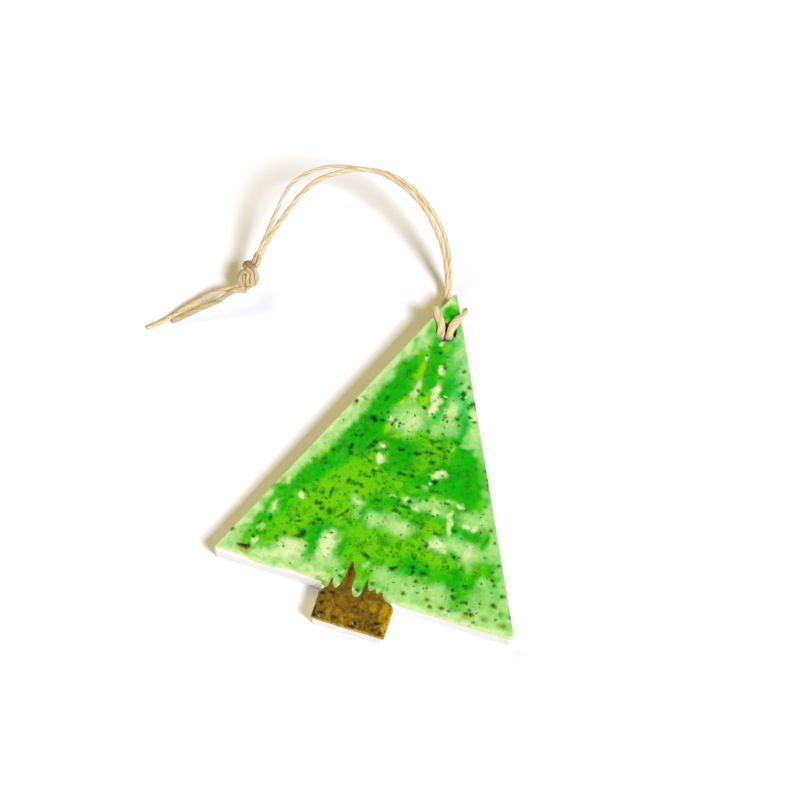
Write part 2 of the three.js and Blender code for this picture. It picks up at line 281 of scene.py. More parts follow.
# %% One smooth line through all of them
def smooth_path(points, spacing):
    """A natural cubic spline through the points, sampled at equal distances along it.
    Its parameter grows by the square root of each chord. The second derivatives at the points solve
    the spline's three-term equations. Returns the samples and each point's place along the line."""
    p = np.asarray(points, float)
    t = np.r_[0, np.cumsum(np.sqrt(np.linalg.norm(np.diff(p, axis=0), axis=1)))]
    h = np.diff(t)
    inner = np.arange(1, len(p) - 1)
    system = np.eye(len(p))
    system[inner, inner - 1] = h[:-1]
    system[inner, inner] = 2 * (h[:-1] + h[1:])
    system[inner, inner + 1] = h[1:]
    known = np.zeros_like(p)
    known[1:-1] = 6 * np.diff(np.diff(p, axis=0) / h[:, None], axis=0)
    bend = np.linalg.solve(system, known)

    def at(u):
        k = np.clip(np.searchsorted(t, u, side="right") - 1, 0, len(h) - 1)
        b = ((u - t[k]) / h[k])[:, None]
        a = 1 - b
        curve = ((a**3 - a) * bend[k] + (b**3 - b) * bend[k + 1]) * h[k][:, None] ** 2 / 6
        return a * p[k] + b * p[k + 1] + curve

    fine = np.linspace(0, t[-1], 60 * len(p))
    run = np.r_[0, np.cumsum(np.linalg.norm(np.diff(at(fine), axis=0), axis=1))]
    even = np.linspace(0, run[-1], int(round(run[-1] / spacing)) + 1)
    return at(np.interp(even, run, fine)), np.interp(t, fine, run)


RING_SPACING = 0.2
stretches = [
    ("tail_a", NECK_AT + np.array(TAIL_A[::-1])),
    ("knot_a", NECK_AT + np.array(KNOT_A[::-1])),
    ("strand_a", NECK_AT + np.array(STRAND_A[::-1])),
    ("hitch", to_row(HITCH)),
    ("strand_b", NECK_AT + np.array(STRAND_B)),
    ("knot_b", NECK_AT + np.array(KNOT_B)),
    ("tail_b", NECK_AT + np.array(TAIL_B)),
]
centre_line, place_along = smooth_path(np.concatenate([points for _, points in stretches]), RING_SPACING)
names = [name for name, _ in stretches]
first_of = np.cumsum([0] + [len(points) for _, points in stretches])
ring_of = np.round(place_along / RING_SPACING).astype(int)


def rings(name, ends):
    """First and last ring of a stretch, up to the first point of the next one where ends says so."""
    k = names.index(name)
    first, last = first_of[k] - ends[0], first_of[k + 1] - 1 + ends[1]
    return ring_of[first], ring_of[last]


print(f"twine: {place_along[-1]:.0f} mm long, {len(centre_line)} rings")
stretch_lengths = np.diff(place_along[np.r_[first_of[:-1], first_of[-1] - 1]])
for name, length in zip(names, stretch_lengths):
    print(f"{name}: {length:.1f} mm of it")

# %% [markdown]
# ## The twine's surface
# Hemp twine is three plies twisted together. Its cross-section is a circle with three shallow grooves,
# and the grooves turn as the section is carried along the line. A section must not spin by itself, so
# its axes are untwisted: at each step the angle that a plain pair of axes gains is taken away again.

# %% Axes along the line
TWINE_RADIUS = 0.53
LAY = 11.0
PLIES = 3
AROUND = 30


def frames_along(line):
    """Tangent and two axes across it at each point, without twist.
    A plain pair of axes comes from a fixed direction that no tangent comes near. The angle it turns
    by between neighbours is summed up and taken off."""
    tangent = np.gradient(line, axis=0)
    tangent /= np.linalg.norm(tangent, axis=1)[:, None]
    tries = np.random.default_rng(4).normal(size=(400, 3))
    tries /= np.linalg.norm(tries, axis=1)[:, None]
    fixed = tries[np.argmin(np.abs(tries @ tangent.T).max(axis=1))]
    one = np.cross(tangent, fixed)
    one /= np.linalg.norm(one, axis=1)[:, None]
    two = np.cross(tangent, one)
    sine, cosine = np.einsum("ij,ij->i", one[1:], two[:-1]), np.einsum("ij,ij->i", one[1:], one[:-1])
    gain = np.arctan2(sine, cosine)
    turn = -np.r_[0, np.cumsum(gain)][:, None]
    return tangent, one * np.cos(turn) + two * np.sin(turn), two * np.cos(turn) - one * np.sin(turn)


tangent, across_one, across_two = frames_along(centre_line)
print("axes at", len(tangent), "rings")

# %% [markdown]
# ## Thick, thin and pressed flat
# The fibres stand loose in the tails, and one strand is drawn thinner than the other over the arch. The
# two legs that lie on the front are pressed flat: their offsets grow along its width. Each change is
# a weight along the twine, 1 between two points of a stretch, so that it fades in and out.

# %% Sweep the section along the line
along = np.arange(len(centre_line)) * RING_SPACING
angle = np.arange(AROUND) * TAU / AROUND
ply_angle = angle[None, :] - TAU * along[:, None] / LAY
crest = np.abs(np.cos(PLIES * ply_angle / 2)) ** 0.8


def stretch_weight(name, first, last, ramp):
    """1 along the twine between two points of a stretch, with a smooth ramp outside each end.
    A negative number counts back from the stretch's last point, which is -1."""
    k = names.index(name)
    low, high = place_along[first_of[k] : first_of[k + 1]][[first, last]]
    return smoothstep(low - ramp, low, along) * (1 - smoothstep(high, high + ramp, along))


swell = 1 + 0.05 * ripple(along, 0 * along, 6.0, 11)
swell += 0.14 * stretch_weight("strand_a", 1, 7, 6.0)
swell -= 0.2 * stretch_weight("strand_b", 10, 14, 6.0)
swell += 0.22 * stretch_weight("tail_a", 2, -1, 3.0)
swell += 0.24 * stretch_weight("tail_b", 0, -2, 3.0)
swell -= 0.22 * stretch_weight("hitch", 20, 21, 1.2)
swell = swell[:, None]
out_of_round = 0.02 * ripple(3 * ply_angle, 0.4 * along[:, None] + 0 * ply_angle, 2.2, 12)
radius = TWINE_RADIUS * swell * (0.91 + 0.09 * crest + out_of_round)
spoke_one, spoke_two = np.cos(angle)[None, :, None], np.sin(angle)[None, :, None]
offset = radius[..., None] * (spoke_one * across_one[:, None, :] + spoke_two * across_two[:, None, :])

FRONT = np.array([0.0, -np.sin(LEAN), np.cos(LEAN)])
LEFT_LEG, RIGHT_LEG = (6, 9), (23, 26)
LEG_RAMP = 2.4
pressed = np.zeros_like(along)
for first, last in (LEFT_LEG, RIGHT_LEG):
    pressed = np.maximum(pressed, stretch_weight("hitch", first, last, LEG_RAMP))
wide = np.cross(tangent, FRONT)
wide *= np.sign(wide[:, :1])
wide += [0.15, 0.0, 0.0]
wide /= np.linalg.norm(wide, axis=1)[:, None]
sideways = np.einsum("ijk,ik->ij", offset, wide)[..., None] * wide[:, None, :]
outwards = (offset @ FRONT)[..., None] * FRONT
offset = offset + pressed[:, None, None] * (0.8 * sideways - 0.1 * outwards)
in_knot = np.maximum(stretch_weight("knot_a", 0, -1, 1.0), stretch_weight("knot_b", 0, -1, 1.0))
offset = offset * (1 + 0.22 * in_knot[:, None, None])
surface = centre_line[:, None, :] + offset
fibre = np.stack([np.cos(ply_angle), np.sin(ply_angle), along[:, None] + 0 * ply_angle], axis=-1)
# Painted shade in the grooves between the plies: 1 at the bottom of a groove.
groove = 1 - crest
print("radius of the twine in mm:", radius.min().round(2), "to", radius.max().round(2))

# %% [markdown]
# ## Painted shade on the twine
# The twine is painted olive brown where shade falls on it: painted shadow at the neck, where it comes
# out from under the slab, painted shade in the top wrap of the knot, on the knot's side away from the
# light, and in the crevices where one wrap of the knot touches the next. The whole knot and the shorter
# tail are a little darker as well. A crevice is where the surface comes near the centre line of another
# wrap, one that lies more than 2.2 mm away along the twine.

# %% Painted shade and crevices
neck_a = stretch_weight("hitch", 0, 2, 3.0)
neck_b = stretch_weight("hitch", -3, -1, 3.0)
wrap_a = stretch_weight("knot_a", 13, 15, 1.2)
wrap_b = stretch_weight("knot_b", 3, 5, 1.2)
shorter_tail = stretch_weight("tail_b", 0, -1, 1.0)
# Painted shadow at the neck and painted shade in the knot's top wrap; the knot and the shorter tail are
# made a little darker.
painted_shade_and_dark = 0.8 * np.maximum(neck_a, neck_b)
painted_shade_and_dark = np.maximum(painted_shade_and_dark, 0.2 * in_knot + 0.6 * np.maximum(wrap_a, wrap_b))
painted_shade_and_dark = np.maximum(painted_shade_and_dark, 0.35 * shorter_tail)
painted_shade_and_dark = np.repeat(painted_shade_and_dark[:, None], AROUND, axis=1)

KNOT_MIDDLE = NECK_AT + np.array([-47.3, -7.8, 7.2])
KNOT_SHADED = np.array([-0.9, 0.25, 0.2])
SAME_WRAP, FAR_AWAY = 2.2, 9.0
TOUCHING, APART = 0.6, 0.95
shaded_side = (surface - KNOT_MIDDLE) @ KNOT_SHADED
knotted = np.flatnonzero(in_knot > 0.2)
between = np.linalg.norm(surface[knotted][:, :, None, :] - centre_line[knotted][None, None], axis=-1)
same_wrap = np.abs(along[knotted][:, None] - along[knotted][None, :]) < SAME_WRAP
between[same_wrap[:, None, :].repeat(AROUND, axis=1)] = FAR_AWAY
# Painted shade in the crevices where the knot's wraps touch.
crevice = np.zeros_like(painted_shade_and_dark)
crevice[knotted] = 1 - smoothstep(TOUCHING, APART, between.min(axis=2))
painted_shade_and_dark = np.maximum(painted_shade_and_dark, 0.95 * crevice)
# Painted shade on the knot's side away from the key light.
painted_shade_and_dark = np.maximum(painted_shade_and_dark, 0.6 * in_knot[:, None] * smoothstep(-0.6, 2.0, shaded_side))
print("knot rings:", len(knotted), "darkest crevice:", round(float(crevice.max()), 2))

# %% [markdown]
# ## Sleeves
# A piece of twine is the run of rings between two places, closed by a low dome at each end, so that a
# cut end looks cut and each piece is a closed surface of its own.


# %% A closed sleeve
def sleeve(first, last):
    """Points, faces and attributes of the twine between two rings, with a domed cap at each end."""
    keep = slice(first, last + 1)
    count = last - first + 1
    index = np.arange(count * AROUND).reshape(count, AROUND)
    beside = np.roll(index, -1, axis=1)
    sides = np.stack([index[:-1], beside[:-1], beside[1:], index[1:]], axis=-1).reshape(-1, 4)
    tips = centre_line[[first, last]] + tangent[[first, last]] * [[-0.12], [0.12]]
    fans = []
    for ring, tip in ((0, count * AROUND), (-1, count * AROUND + 1)):
        pair = (index[ring], beside[ring]) if ring else (beside[ring], index[ring])
        fans.append(np.stack([*pair, np.full(AROUND, tip)], axis=-1))
    points = np.r_[surface[keep].reshape(-1, 3), tips]
    coordinates = np.r_[fibre[keep].reshape(-1, 3), [[0, 0, along[first]], [0, 0, along[last]]]]
    attributes = {"fibre": coordinates}
    # These attributes carry the painted shade in the grooves, at the neck and in the knot.
    for key, values in (("groove", groove), ("stain", painted_shade_and_dark)):
        attributes[key] = np.r_[values[keep].ravel(), 0.5, 0.5]
    return points, [sides, np.concatenate(fans)], attributes


# %% [markdown]
# ## Hemp
# Natural hemp twine, polished: combed fibres laid almost lengthwise along each ply. To the eye it is
# pale straw with fine darker and lighter streaks that follow the twist, and hardly shiny; brown shade
# is painted into the grooves, and olive brown shade at the neck and in the knot. A real fibre is 0.03 mm
# wide, too fine to show, so the streaks are about 0.18 mm wide: the twine's radius over the pattern's
# scale across it.

# %% Hemp material
ACROSS_FIBRES, ALONG_FIBRES = 3.0, 0.3
hemp, tree, shader = new_material("polished hemp twine", Roughness=0.72, IOR=1.45)
fibre_at = put(tree, "Attribute", attribute_name="fibre").outputs["Vector"]
groove_at = put(tree, "Attribute", attribute_name="groove").outputs["Fac"]
stretched = (ACROSS_FIBRES, ACROSS_FIBRES, ALONG_FIBRES)
lengthwise = put(tree, "Mapping", {"Vector": fibre_at, "Scale": stretched}).outputs["Vector"]
streaks = put(tree, "TexNoise", {"Vector": lengthwise, "Scale": 1.0, "Detail": 4.0, "Roughness": 0.6})
patches = put(tree, "TexNoise", {"Vector": fibre_at, "Scale": 0.22, "Detail": 2.0})
shade = put(tree, "ValToRGB", {"Fac": streaks.outputs["Fac"]})
stops = shade.color_ramp.elements
for element, (spot, code) in zip(
    [stops[0], stops[1], stops.new(0.5)], [(0.34, "#80581C"), (0.66, "#FFF8E0"), (0.5, "#EBD29C")]
):
    element.position = spot
    element.color = linear(code)
faded = {0: patches.outputs["Fac"], 6: shade.outputs["Color"], 7: linear("#F0DCAC")}
tint = put(tree, "Mix", faded, data_type="RGBA")
# Painted shade in the grooves between the plies.
painted_groove_shade = put(tree, "Math", {0: groove_at, 1: 0.35}, operation="MULTIPLY").outputs[0]
colour = put(tree, "Mix", {0: painted_groove_shade, 6: tint.outputs[2], 7: linear("#8A6420")}, data_type="RGBA")
# Olive brown painted shade at the neck and in the knot, thinned along the streaks.
stain = put(tree, "Attribute", attribute_name="stain").outputs["Fac"]
streak_variation = {0: streaks.outputs["Fac"], 1: 0.35, 2: 0.65, 3: 1.0, 4: 0.8}
shade_and_dark_cover = put(tree, "MapRange", streak_variation).outputs[0]
shade_and_dark_cover = put(tree, "Math", {0: shade_and_dark_cover, 1: stain}, operation="MULTIPLY").outputs[0]
colour = put(tree, "Mix", {0: shade_and_dark_cover, 6: colour.outputs[2], 7: linear("#70500C")}, data_type="RGBA")
colour_and_relief(tree, shader, colour.outputs[2], streaks.outputs["Fac"], 0.5, 0.06)
print("hemp:", len(tree.nodes), "nodes")

# %% [markdown]
# ## The hitch stays, the knot moves
# The hitch is tied round the slab and stays with it. The knot is two runs of the twine in one piece and
# moves with the loop.

# %% Hitch and knot
points, faces, attributes = sleeve(*rings("hitch", (0, 0)))
hitch = build("lark_head_hitch", points, faces, hemp, attributes)
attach(hitch, "slab")
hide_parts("hitch")

halves = [sleeve(*rings(name, (0, 0))) for name in ("knot_a", "knot_b")]
shifted_faces = [group + len(halves[0][0]) for group in halves[1][1]]
knot = build(
    "overhand_knot",
    np.r_[halves[0][0], halves[1][0]],
    [np.r_[a, b] for a, b in zip(halves[0][1], shifted_faces)],
    hemp,
    {key: np.concatenate([half[2][key] for half in halves]) for key in halves[0][2]},
)
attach(knot, "loop")
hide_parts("knot")

print("knot:", len(halves), "strands")

# %% [markdown]
# ## Strands and tails
# The rest moves with the loop. Each piece reaches the next one's first point, so that no gap shows. The
# two long strands run from the neck, where they leave the slab, to the knot, and their lengths are printed.

# %% Strands and tails
loop_pieces = {}
for name, stretch, ends, node in (
    ("tail_of_strand_a", "tail_a", (0, 1), "tail_a"),
    ("loop_of_strand_a", "strand_a", (1, 1), "loop_strand_a"),
    ("loop_of_strand_b", "strand_b", (1, 1), "loop_strand_b"),
    ("tail_of_strand_b", "tail_b", (1, 0), "tail_b"),
):
    first, last = rings(stretch, ends)
    points, faces, attributes = sleeve(first, last)
    piece = build(name, points, faces, hemp, attributes)
    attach(piece, "loop")
    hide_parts(node)
    loop_pieces[name] = (piece, centre_line[first : last + 1])

for name in ("loop_of_strand_a", "loop_of_strand_b"):
    piece, path = loop_pieces[name]
    length = np.linalg.norm(np.diff(path, axis=0), axis=1).sum()
    print(f"{name}: {length:.1f} mm")

# %% [markdown]
# ## The slab's outline
# The tree was cut by hand from clay rolled about 6 mm thick: a triangle with a short trunk. Its outline
# is a polygon whose corners are small arcs. The sides are carried round it as a profile: a row of
# (inset, height) pairs, each of which gives one ring of points.

# %% Rounded polygon
BASE_Y = -77.6
CORNERS = [(0.0, 0.4), (-34.5, BASE_Y), (37.6, BASE_Y)]
TRUNK = [(-7.85, BASE_Y), (-7.85, -86.1), (9.45, -86.1), (9.45, BASE_Y)]
HOLE_AT = np.array([0.8, -10.5])
HOLE_RADIUS = 2.25


def rounded(corners, radii, spacing):
    """A closed outline with an arc at each corner, at equal distances, and its outward normals.
    The arc's centre lies radius / sin(half the corner's angle) along the line that halves the corner.
    Corners are given counterclockwise."""
    p = np.asarray(corners, float)
    pieces = []
    for k, radius in enumerate(radii):
        before, after = p[k - 1] - p[k], p[(k + 1) % len(p)] - p[k]
        before, after = before / np.linalg.norm(before), after / np.linalg.norm(after)
        half = np.arccos(np.clip(before @ after, -1, 1)) / 2
        centre = p[k] + (before + after) / np.linalg.norm(before + after) * radius / np.sin(half)
        start = p[k] + before * radius / np.tan(half) - centre
        sweep = np.pi - 2 * half
        turning = np.sign(before[1] * after[0] - before[0] * after[1])
        a = np.linspace(0, sweep, 12) * turning
        c, s = np.cos(a), np.sin(a)
        pieces.append(centre + np.c_[start[0] * c - start[1] * s, start[0] * s + start[1] * c])
    line = np.concatenate(pieces)
    return even_loop(line, spacing)


def even_loop(line, spacing):
    """The same closed line with equal distances between its points, and the normals that point out."""
    closed = np.r_[line, line[:1]]
    run = np.r_[0, np.cumsum(np.linalg.norm(np.diff(closed, axis=0), axis=1))]
    even = np.linspace(0, run[-1], int(round(run[-1] / spacing)), endpoint=False)
    loop = np.c_[np.interp(even, run, closed[:, 0]), np.interp(even, run, closed[:, 1])]
    step = np.roll(loop, -1, axis=0) - np.roll(loop, 1, axis=0)
    step /= np.linalg.norm(step, axis=1)[:, None]
    return loop, np.c_[step[:, 1], -step[:, 0]]


def clearance(points, loop):
    """Signed distance of points from a closed line, positive inside it."""
    start, step = loop, np.roll(loop, -1, axis=0) - loop
    square = (step**2).sum(axis=1)
    result = np.empty(len(points))
    for low in range(0, len(points), 2000):
        chunk = points[low : low + 2000, None, :] - start
        t = np.clip((chunk * step).sum(axis=2) / square, 0, 1)
        away = np.sqrt(((chunk - t[..., None] * step) ** 2).sum(axis=2).min(axis=1))
        crosses = (chunk[..., 1] < 0) != (chunk[..., 1] < step[:, 1])
        rise = np.where(step[:, 1] == 0, 1, step[:, 1])
        to_left = chunk[..., 0] < chunk[..., 1] * step[:, 0] / rise
        inside = (crosses & to_left).sum(axis=1) % 2 == 1
        result[low : low + 2000] = np.where(inside, away, -away)
    return result


print("corners of the slab in mm:", np.round(CORNERS, 1).tolist())

# %% [markdown]
# ## Plates
# The slab and both coats are plates: rings that carry the edge round, and two faces filled with even
# triangles, fine enough on the front to carry the glaze. A bevelled flat face would look cut by a machine.


# %% Plates with shaped edges
def fill(loops, spacing):
    """Triangles between closed loops, over a hexagonal grid of inner points.
    The first loop is the outer edge and the others are holes. The points are joined so that the
    circle through a triangle's corners holds no other point, and the loops' own edges are kept."""
    outer = loops[0]
    low, high = outer.min(axis=0), outer.max(axis=0)
    rows = np.arange(low[1], high[1], spacing * 0.866)
    columns = np.arange(low[0], high[0], spacing)
    x, y = np.meshgrid(columns, rows)
    x = x + (np.arange(len(rows)) % 2)[:, None] * spacing / 2
    grid = np.c_[x.ravel(), y.ravel()]
    room = np.min([clearance(grid, outer)] + [-clearance(grid, hole) for hole in loops[1:]], axis=0)
    grid = grid[room > 0.55 * spacing]
    edges = []
    count = 0
    for loop in loops:
        index = count + np.arange(len(loop))
        edges += np.c_[index, np.roll(index, -1)].tolist()
        count += len(loop)
    points = np.r_[np.concatenate(loops), grid]
    result = delaunay_2d_cdt([Vector(point) for point in points], edges, [], 1, 1e-6)
    source = np.array([group[0] for group in result[3]])
    triangles = source[np.array(result[2])]
    middle = points[triangles].mean(axis=1)
    keep = np.ones(len(middle), bool)
    for hole in loops[1:]:
        keep &= clearance(middle, hole) < 0
    return points, triangles[keep]


def plate(outline, rim, spacing, hole=None, hole_rim=None, back_spacing=3.0):
    """A closed plate. rim holds (inset, height) from the back's edge to the front's, and each pair
    gives a ring: the outline moved in by the inset. The front and the back are filled between the
    last and the first rings. Returns points and faces."""
    points, faces, ends = [], [], []
    count = 0
    edges = [(outline, rim)] + ([(hole, hole_rim)] if hole else [])
    for (loop, normal), profile in edges:
        stack = [np.c_[loop - inset * normal, np.full(len(loop), height)] for inset, height in profile]
        index = count + np.arange(len(stack) * len(loop)).reshape(len(stack), len(loop))
        beside = np.roll(index, -1, axis=1)
        faces.append(np.stack([index[:-1], beside[:-1], beside[1:], index[1:]], axis=-1).reshape(-1, 4))
        points += stack
        count += len(stack) * len(loop)
        ends.append((stack, index))
    for row, gap, flip in ((-1, spacing, 1), (0, back_spacing, -1)):
        loops = [stack[row][:, :2] for stack, _ in ends]
        inner, triangles = fill(loops, gap)
        edge = np.concatenate([index[row] for _, index in ends])
        new = inner[len(edge) :]
        points.append(np.c_[new, np.full(len(new), ends[0][0][row][0, 2])])
        lookup = np.r_[edge, count + np.arange(len(new))]
        count += len(new)
        faces.append(lookup[triangles][:, ::flip])
    if hole:
        faces[1] = faces[1][:, ::-1]
    return np.concatenate(points), faces


def hole_loop(radius, spacing):
    """A circle round the hole's centre, and normals that point towards that centre."""
    count = int(TAU * radius / spacing)
    a = np.arange(count) * TAU / count
    spoke = np.c_[np.cos(a), np.sin(a)]
    return HOLE_AT + radius * spoke, -spoke


# %% [markdown]
# ## Bare clay
# Fired white clay without glaze: matte, chalky, warm white, with a fine grain. The slab's edges were
# rubbed round with a wet finger before firing, and its sides keep faint dents from the knife.

# %% Clay material
clay, tree, shader = new_material("bisque white clay", Roughness=0.85, IOR=1.5)
shader.inputs["Specular IOR Level"].default_value = 0.3
at = put(tree, "TexCoord").outputs["Object"]
grain = put(tree, "TexNoise", {"Vector": at, "Scale": 1 / (0.35 * MM), "Detail": 3.0, "Roughness": 0.6})
cloud = put(tree, "TexNoise", {"Vector": at, "Scale": 1 / (9 * MM), "Detail": 3.0})
clouded = {0: cloud.outputs["Fac"], 6: linear("#F4F0E6"), 7: linear("#FBF9F4")}
body = put(tree, "Mix", clouded, data_type="RGBA")
fleck = put(tree, "MapRange", {0: grain.outputs["Fac"], 1: 0.66, 2: 0.8, 3: 0.0, 4: 0.35}).outputs[0]
colour = put(tree, "Mix", {0: fleck, 6: body.outputs[2], 7: linear("#D9CDB4")}, data_type="RGBA")
# Painted shade: the wall of the hole turns dark brown.
in_hole = put(tree, "Attribute", attribute_name="hole_shade").outputs["Fac"]
colour = put(tree, "Mix", {0: in_hole, 6: colour.outputs[2], 7: linear("#3A2606")}, data_type="RGBA")
colour_and_relief(tree, shader, colour.outputs[2], grain.outputs["Fac"], 0.35, 0.08)
print("clay:", len(tree.nodes), "nodes")

# %% [markdown]
# ## The slab
# The slab is one plate with a hole. Its front keeps the long shallow waves of the rolling pin, its sides
# faint dents, and its back is a little uneven. The hole's wall is painted dark brown as shade.

# %% Clay slab
CLAY_FRONT = 6.1
corners = [CORNERS[0], CORNERS[1], TRUNK[0], TRUNK[1], TRUNK[2], TRUNK[3], CORNERS[2]]
radii = [0.55, 0.7, 0.3, 0.55, 0.9, 0.7, 0.9]
outline = rounded(corners, radii, 0.22)
rim = [
    (0.45, 0.0), (0.28, 0.03), (0.12, 0.13), (0.03, 0.3), (0.0, 0.55), (-0.03, 1.6), (-0.05, 2.8),
    (-0.04, 4.0), (-0.02, 5.0), (0.02, 5.5), (0.1, 5.8), (0.22, 5.98), (0.38, 6.07), (0.5, CLAY_FRONT),
]
hole_rim = [
    (0.5, 0.0), (0.2, 0.05), (0.05, 0.25), (0.0, 0.6), (-0.03, 3.0), (0.0, 5.4), (0.06, 5.85), (0.2, 6.04),
    (0.45, CLAY_FRONT),
]
points, faces = plate(outline, rim, 1.2, hole_loop(HOLE_RADIUS, 0.3), hole_rim)
from_hole = np.hypot(*(points[:, :2] - HOLE_AT).T)
# Painted shade on the hole's wall, from just below the front down.
hole_shade = smoothstep(2.6, 2.4, from_hole) * smoothstep(5.9, 5.2, points[:, 2])


def dent(points, depth, wavelength, seed):
    """Moves points along x and y by smooth noise in all three directions."""
    x, y, z = points.T
    mixed = ripple(x + 0.7 * z, y - 0.6 * z, wavelength, seed)
    moved = points.copy()
    moved[:, 0] += depth * mixed
    moved[:, 1] += depth * ripple(x - 0.6 * z, y + 0.7 * z, wavelength, seed + 1)
    return moved


def hand_rolled(x, y):
    """Height of the slab's front above its plane: long shallow waves left by the rolling pin."""
    return 0.07 * ripple(x, y, 16.0, 31) + 0.03 * ripple(x, y, 5.0, 32)


points = dent(points, 0.05, 4.0, 41)
points[:, 2] += hand_rolled(points[:, 0], points[:, 1]) * smoothstep(4.5, 6.0, points[:, 2])
back_waves = 0.05 + 0.05 * ripple(points[:, 0], points[:, 1], 9.0, 33)
points[:, 2] += back_waves * smoothstep(0.2, 0.0, points[:, 2])
slab = build("clay_slab", to_row(points), faces, clay, {"hole_shade": hole_shade})
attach(slab, "slab")
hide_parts("ceramic_tree")

# %% [markdown]
# ## Where the green glaze lies thick and thin
# The glaze was dabbed on with a brush: thick it is deep green, thinner it is lime, and where it ran
# thin over the edges and bumps it is mint to cream. Crystals in it melted to dark specks with olive
# rims. The marks are tables of soft ellipses in the slab's frame: x, y, length, width, turn in degrees
# and strength. Their edges are broken up by moving every place a little before it is measured.


# %% Dabs of the brush
def dabs(text):
    """Rows of six numbers, one dab to a semicolon."""
    return np.array([row.split() for row in text.split(";") if row.strip()], float)


def paint(x, y, marks, soft):
    """How much the marks cover each place, 0 to 1. A place's distance d from a mark is 1 on its
    ellipse. Cover falls from the mark's strength at d = 1 - soft to nothing at d = 1 + soft, and
    covers add up as 1 minus the product of what each leaves bare."""
    bare = np.ones_like(x)
    for cx, cy, length, width, turn, strength in marks:
        t = np.radians(turn)
        along = ((x - cx) * np.cos(t) + (y - cy) * np.sin(t)) / (length / 2)
        across = ((y - cy) * np.cos(t) - (x - cx) * np.sin(t)) / (width / 2)
        bare *= 1 - strength * (1 - smoothstep(1 - soft, 1 + soft, np.hypot(along, across)))
    return 1 - bare


DEEP = dabs("""
.9 -6.6 5.4 2.8 62 1; .3 -5.2 3.4 2.4 60 1; .9 -15.5 5 3.4 90 .8; .2 -17 4 2.2 90 .7; -4.9 -24 12 4 83 1;
-6 -27.5 8 5.8 75 1; -7.2 -31.5 7 4.8 80 1; -8.5 -35.5 8 6 75 1; -10 -39.5 8 6.4 65 1; -6 -39.8 9 3.8 0 1;
-11 -43.2 8 7 75 .95; -13.5 -47.2 6 4.6 70 .95; -15 -49.7 5 3.2 70 1; -17.2 -52.5 6 3.4 68 1;
-19.6 -55 5 3.4 60 1; -21.3 -58 6 2.2 75 1; -22 -62.2 5.4 1.2 88 1; -1 -41.3 9.5 4.6 4 1;
1 -44.6 7 4.6 0 .9; -2.5 -47 3 2.4 0 .7; .8 -22.6 10 2.4 90 .9; 1.4 -28.6 3 1.4 80 .5;
5.2 -24.4 6.6 3.2 85 .95; 5.5 -28.6 5 1.5 88 .9; 2.4 -33 5 1.6 80 .8; 11.8 -32.3 5 3.2 85 1;
12.4 -35.4 3.6 1.3 80 1; 10.6 -33 1.8 1.4 0 1; 15.5 -43.4 10.4 9 80 1; 17 -46.5 8 6.4 85 1;
13 -46.4 6 5 0 1; 18.9 -48 7 3.4 80 1; 15.6 -39.6 5 4 0 1; 18.3 -51 3.4 2.6 60 .9; 8.5 -48.8 10 2.4 5 .95;
4.5 -48.6 4 2.2 20 .7; 7.4 -47 5 1.8 20 .8; 10 -43.2 4 1.3 0 .8; 7.3 -46 1.4 3 10 .6;
24.9 -56.6 4.6 1.6 80 1; 20.1 -56.9 2.2 1.3 0 .95; 17.1 -57 1.6 1.2 0 .9; 16.8 -55 6 1.6 90 .5;
29.6 -63.6 2.4 1.5 80 .8; 19.6 -62.9 1.4 1.2 0 .9; 21 -67.8 4.4 3.4 80 1; 24.8 -67.2 3.4 2 85 .9;
21.4 -71 4 3 80 .7; 21.6 -75.5 1.8 1.4 0 .9; 18.3 -68.4 4 1.4 10 .7; 11 -67.8 7 3.6 -8 1;
8 -69.6 3.4 2.4 20 .9; 13.6 -68.4 2 1.6 0 .9; 10 -70 3 1.4 80 .7; -6.2 -68 5.4 1.4 88 1;
-12.4 -68 6 1.4 88 1; -12.4 -72 3.6 1.5 90 .8; -4.8 -66.5 3 1.8 80 .6; -8.5 -64.4 6 1.3 0 .75;
-12.5 -65.4 3 1.4 30 .8; -23.5 -58.9 2 1 0 1; -24.1 -66.6 1 .8 80 .8; 1 -54.8 4 1.4 5 .95;
-3.4 -56 5 1.6 60 .6; -4.2 -60 4 1.3 85 .5; -1.8 -55.2 2 1.4 0 .8; .3 -77 1.8 1.5 0 1; 8 -37 1.8 1.2 20 .7;
5.8 -39.8 2.4 .9 0 .7; -4.6 -43.9 1.7 .9 5 1; -24 -58.4 3 2.2 66 .9; .3 -77.6 2.4 2 0 1;
-25.6 -67 6 2.6 62 .5; -22.5 -71 6 2 15 .45; 27.5 -67.5 9 2.6 62 .45; 32.6 -73 4 2.4 60 .4;
21 -72.4 7 1.6 5 .35
""")
LIME = dabs("""
-9 -48 9 8 0 .9; -8 -53 12 8 0 .9; -13 -53.5 9 3 60 1; -16 -57.5 8 3.4 65 1; -12 -59 10 9 0 .9;
-17.5 -63.5 9 4.4 75 1; -20 -68 9 4 70 .8; -23.5 -70 7 4 70 .7; -8 -61.5 6 4 60 1; -3 -65 10 6 0 .8;
3 -66 12 8 0 .9; 9 -60 10 6 20 .8; 11.8 -58.3 4 3 20 1; 12 -61 3 1.6 80 .9; 15 -65 8 3.4 5 1;
10 -64.5 8 4 0 .8; -2.5 -69.8 6 3 20 1; 1 -73 3 4.6 0 .8; 3.3 -74.5 3 2 85 1; 7 -39 7 6 0 .85;
3.5 -39 4 4 0 .6; 8.5 -41.5 5 3 0 .8; 5 -44.3 6 4 10 .8; 3 -49.8 8 2.6 5 .8; -2 -50.5 9 4 0 .7;
12.8 -50.4 4 1.5 0 .9; 20.6 -42.5 6 1.3 75 1; 21 -46.5 5 1.5 80 .6; 24 -65 6 3 20 .5; 28.4 -64.5 4 2 85 .5
""")
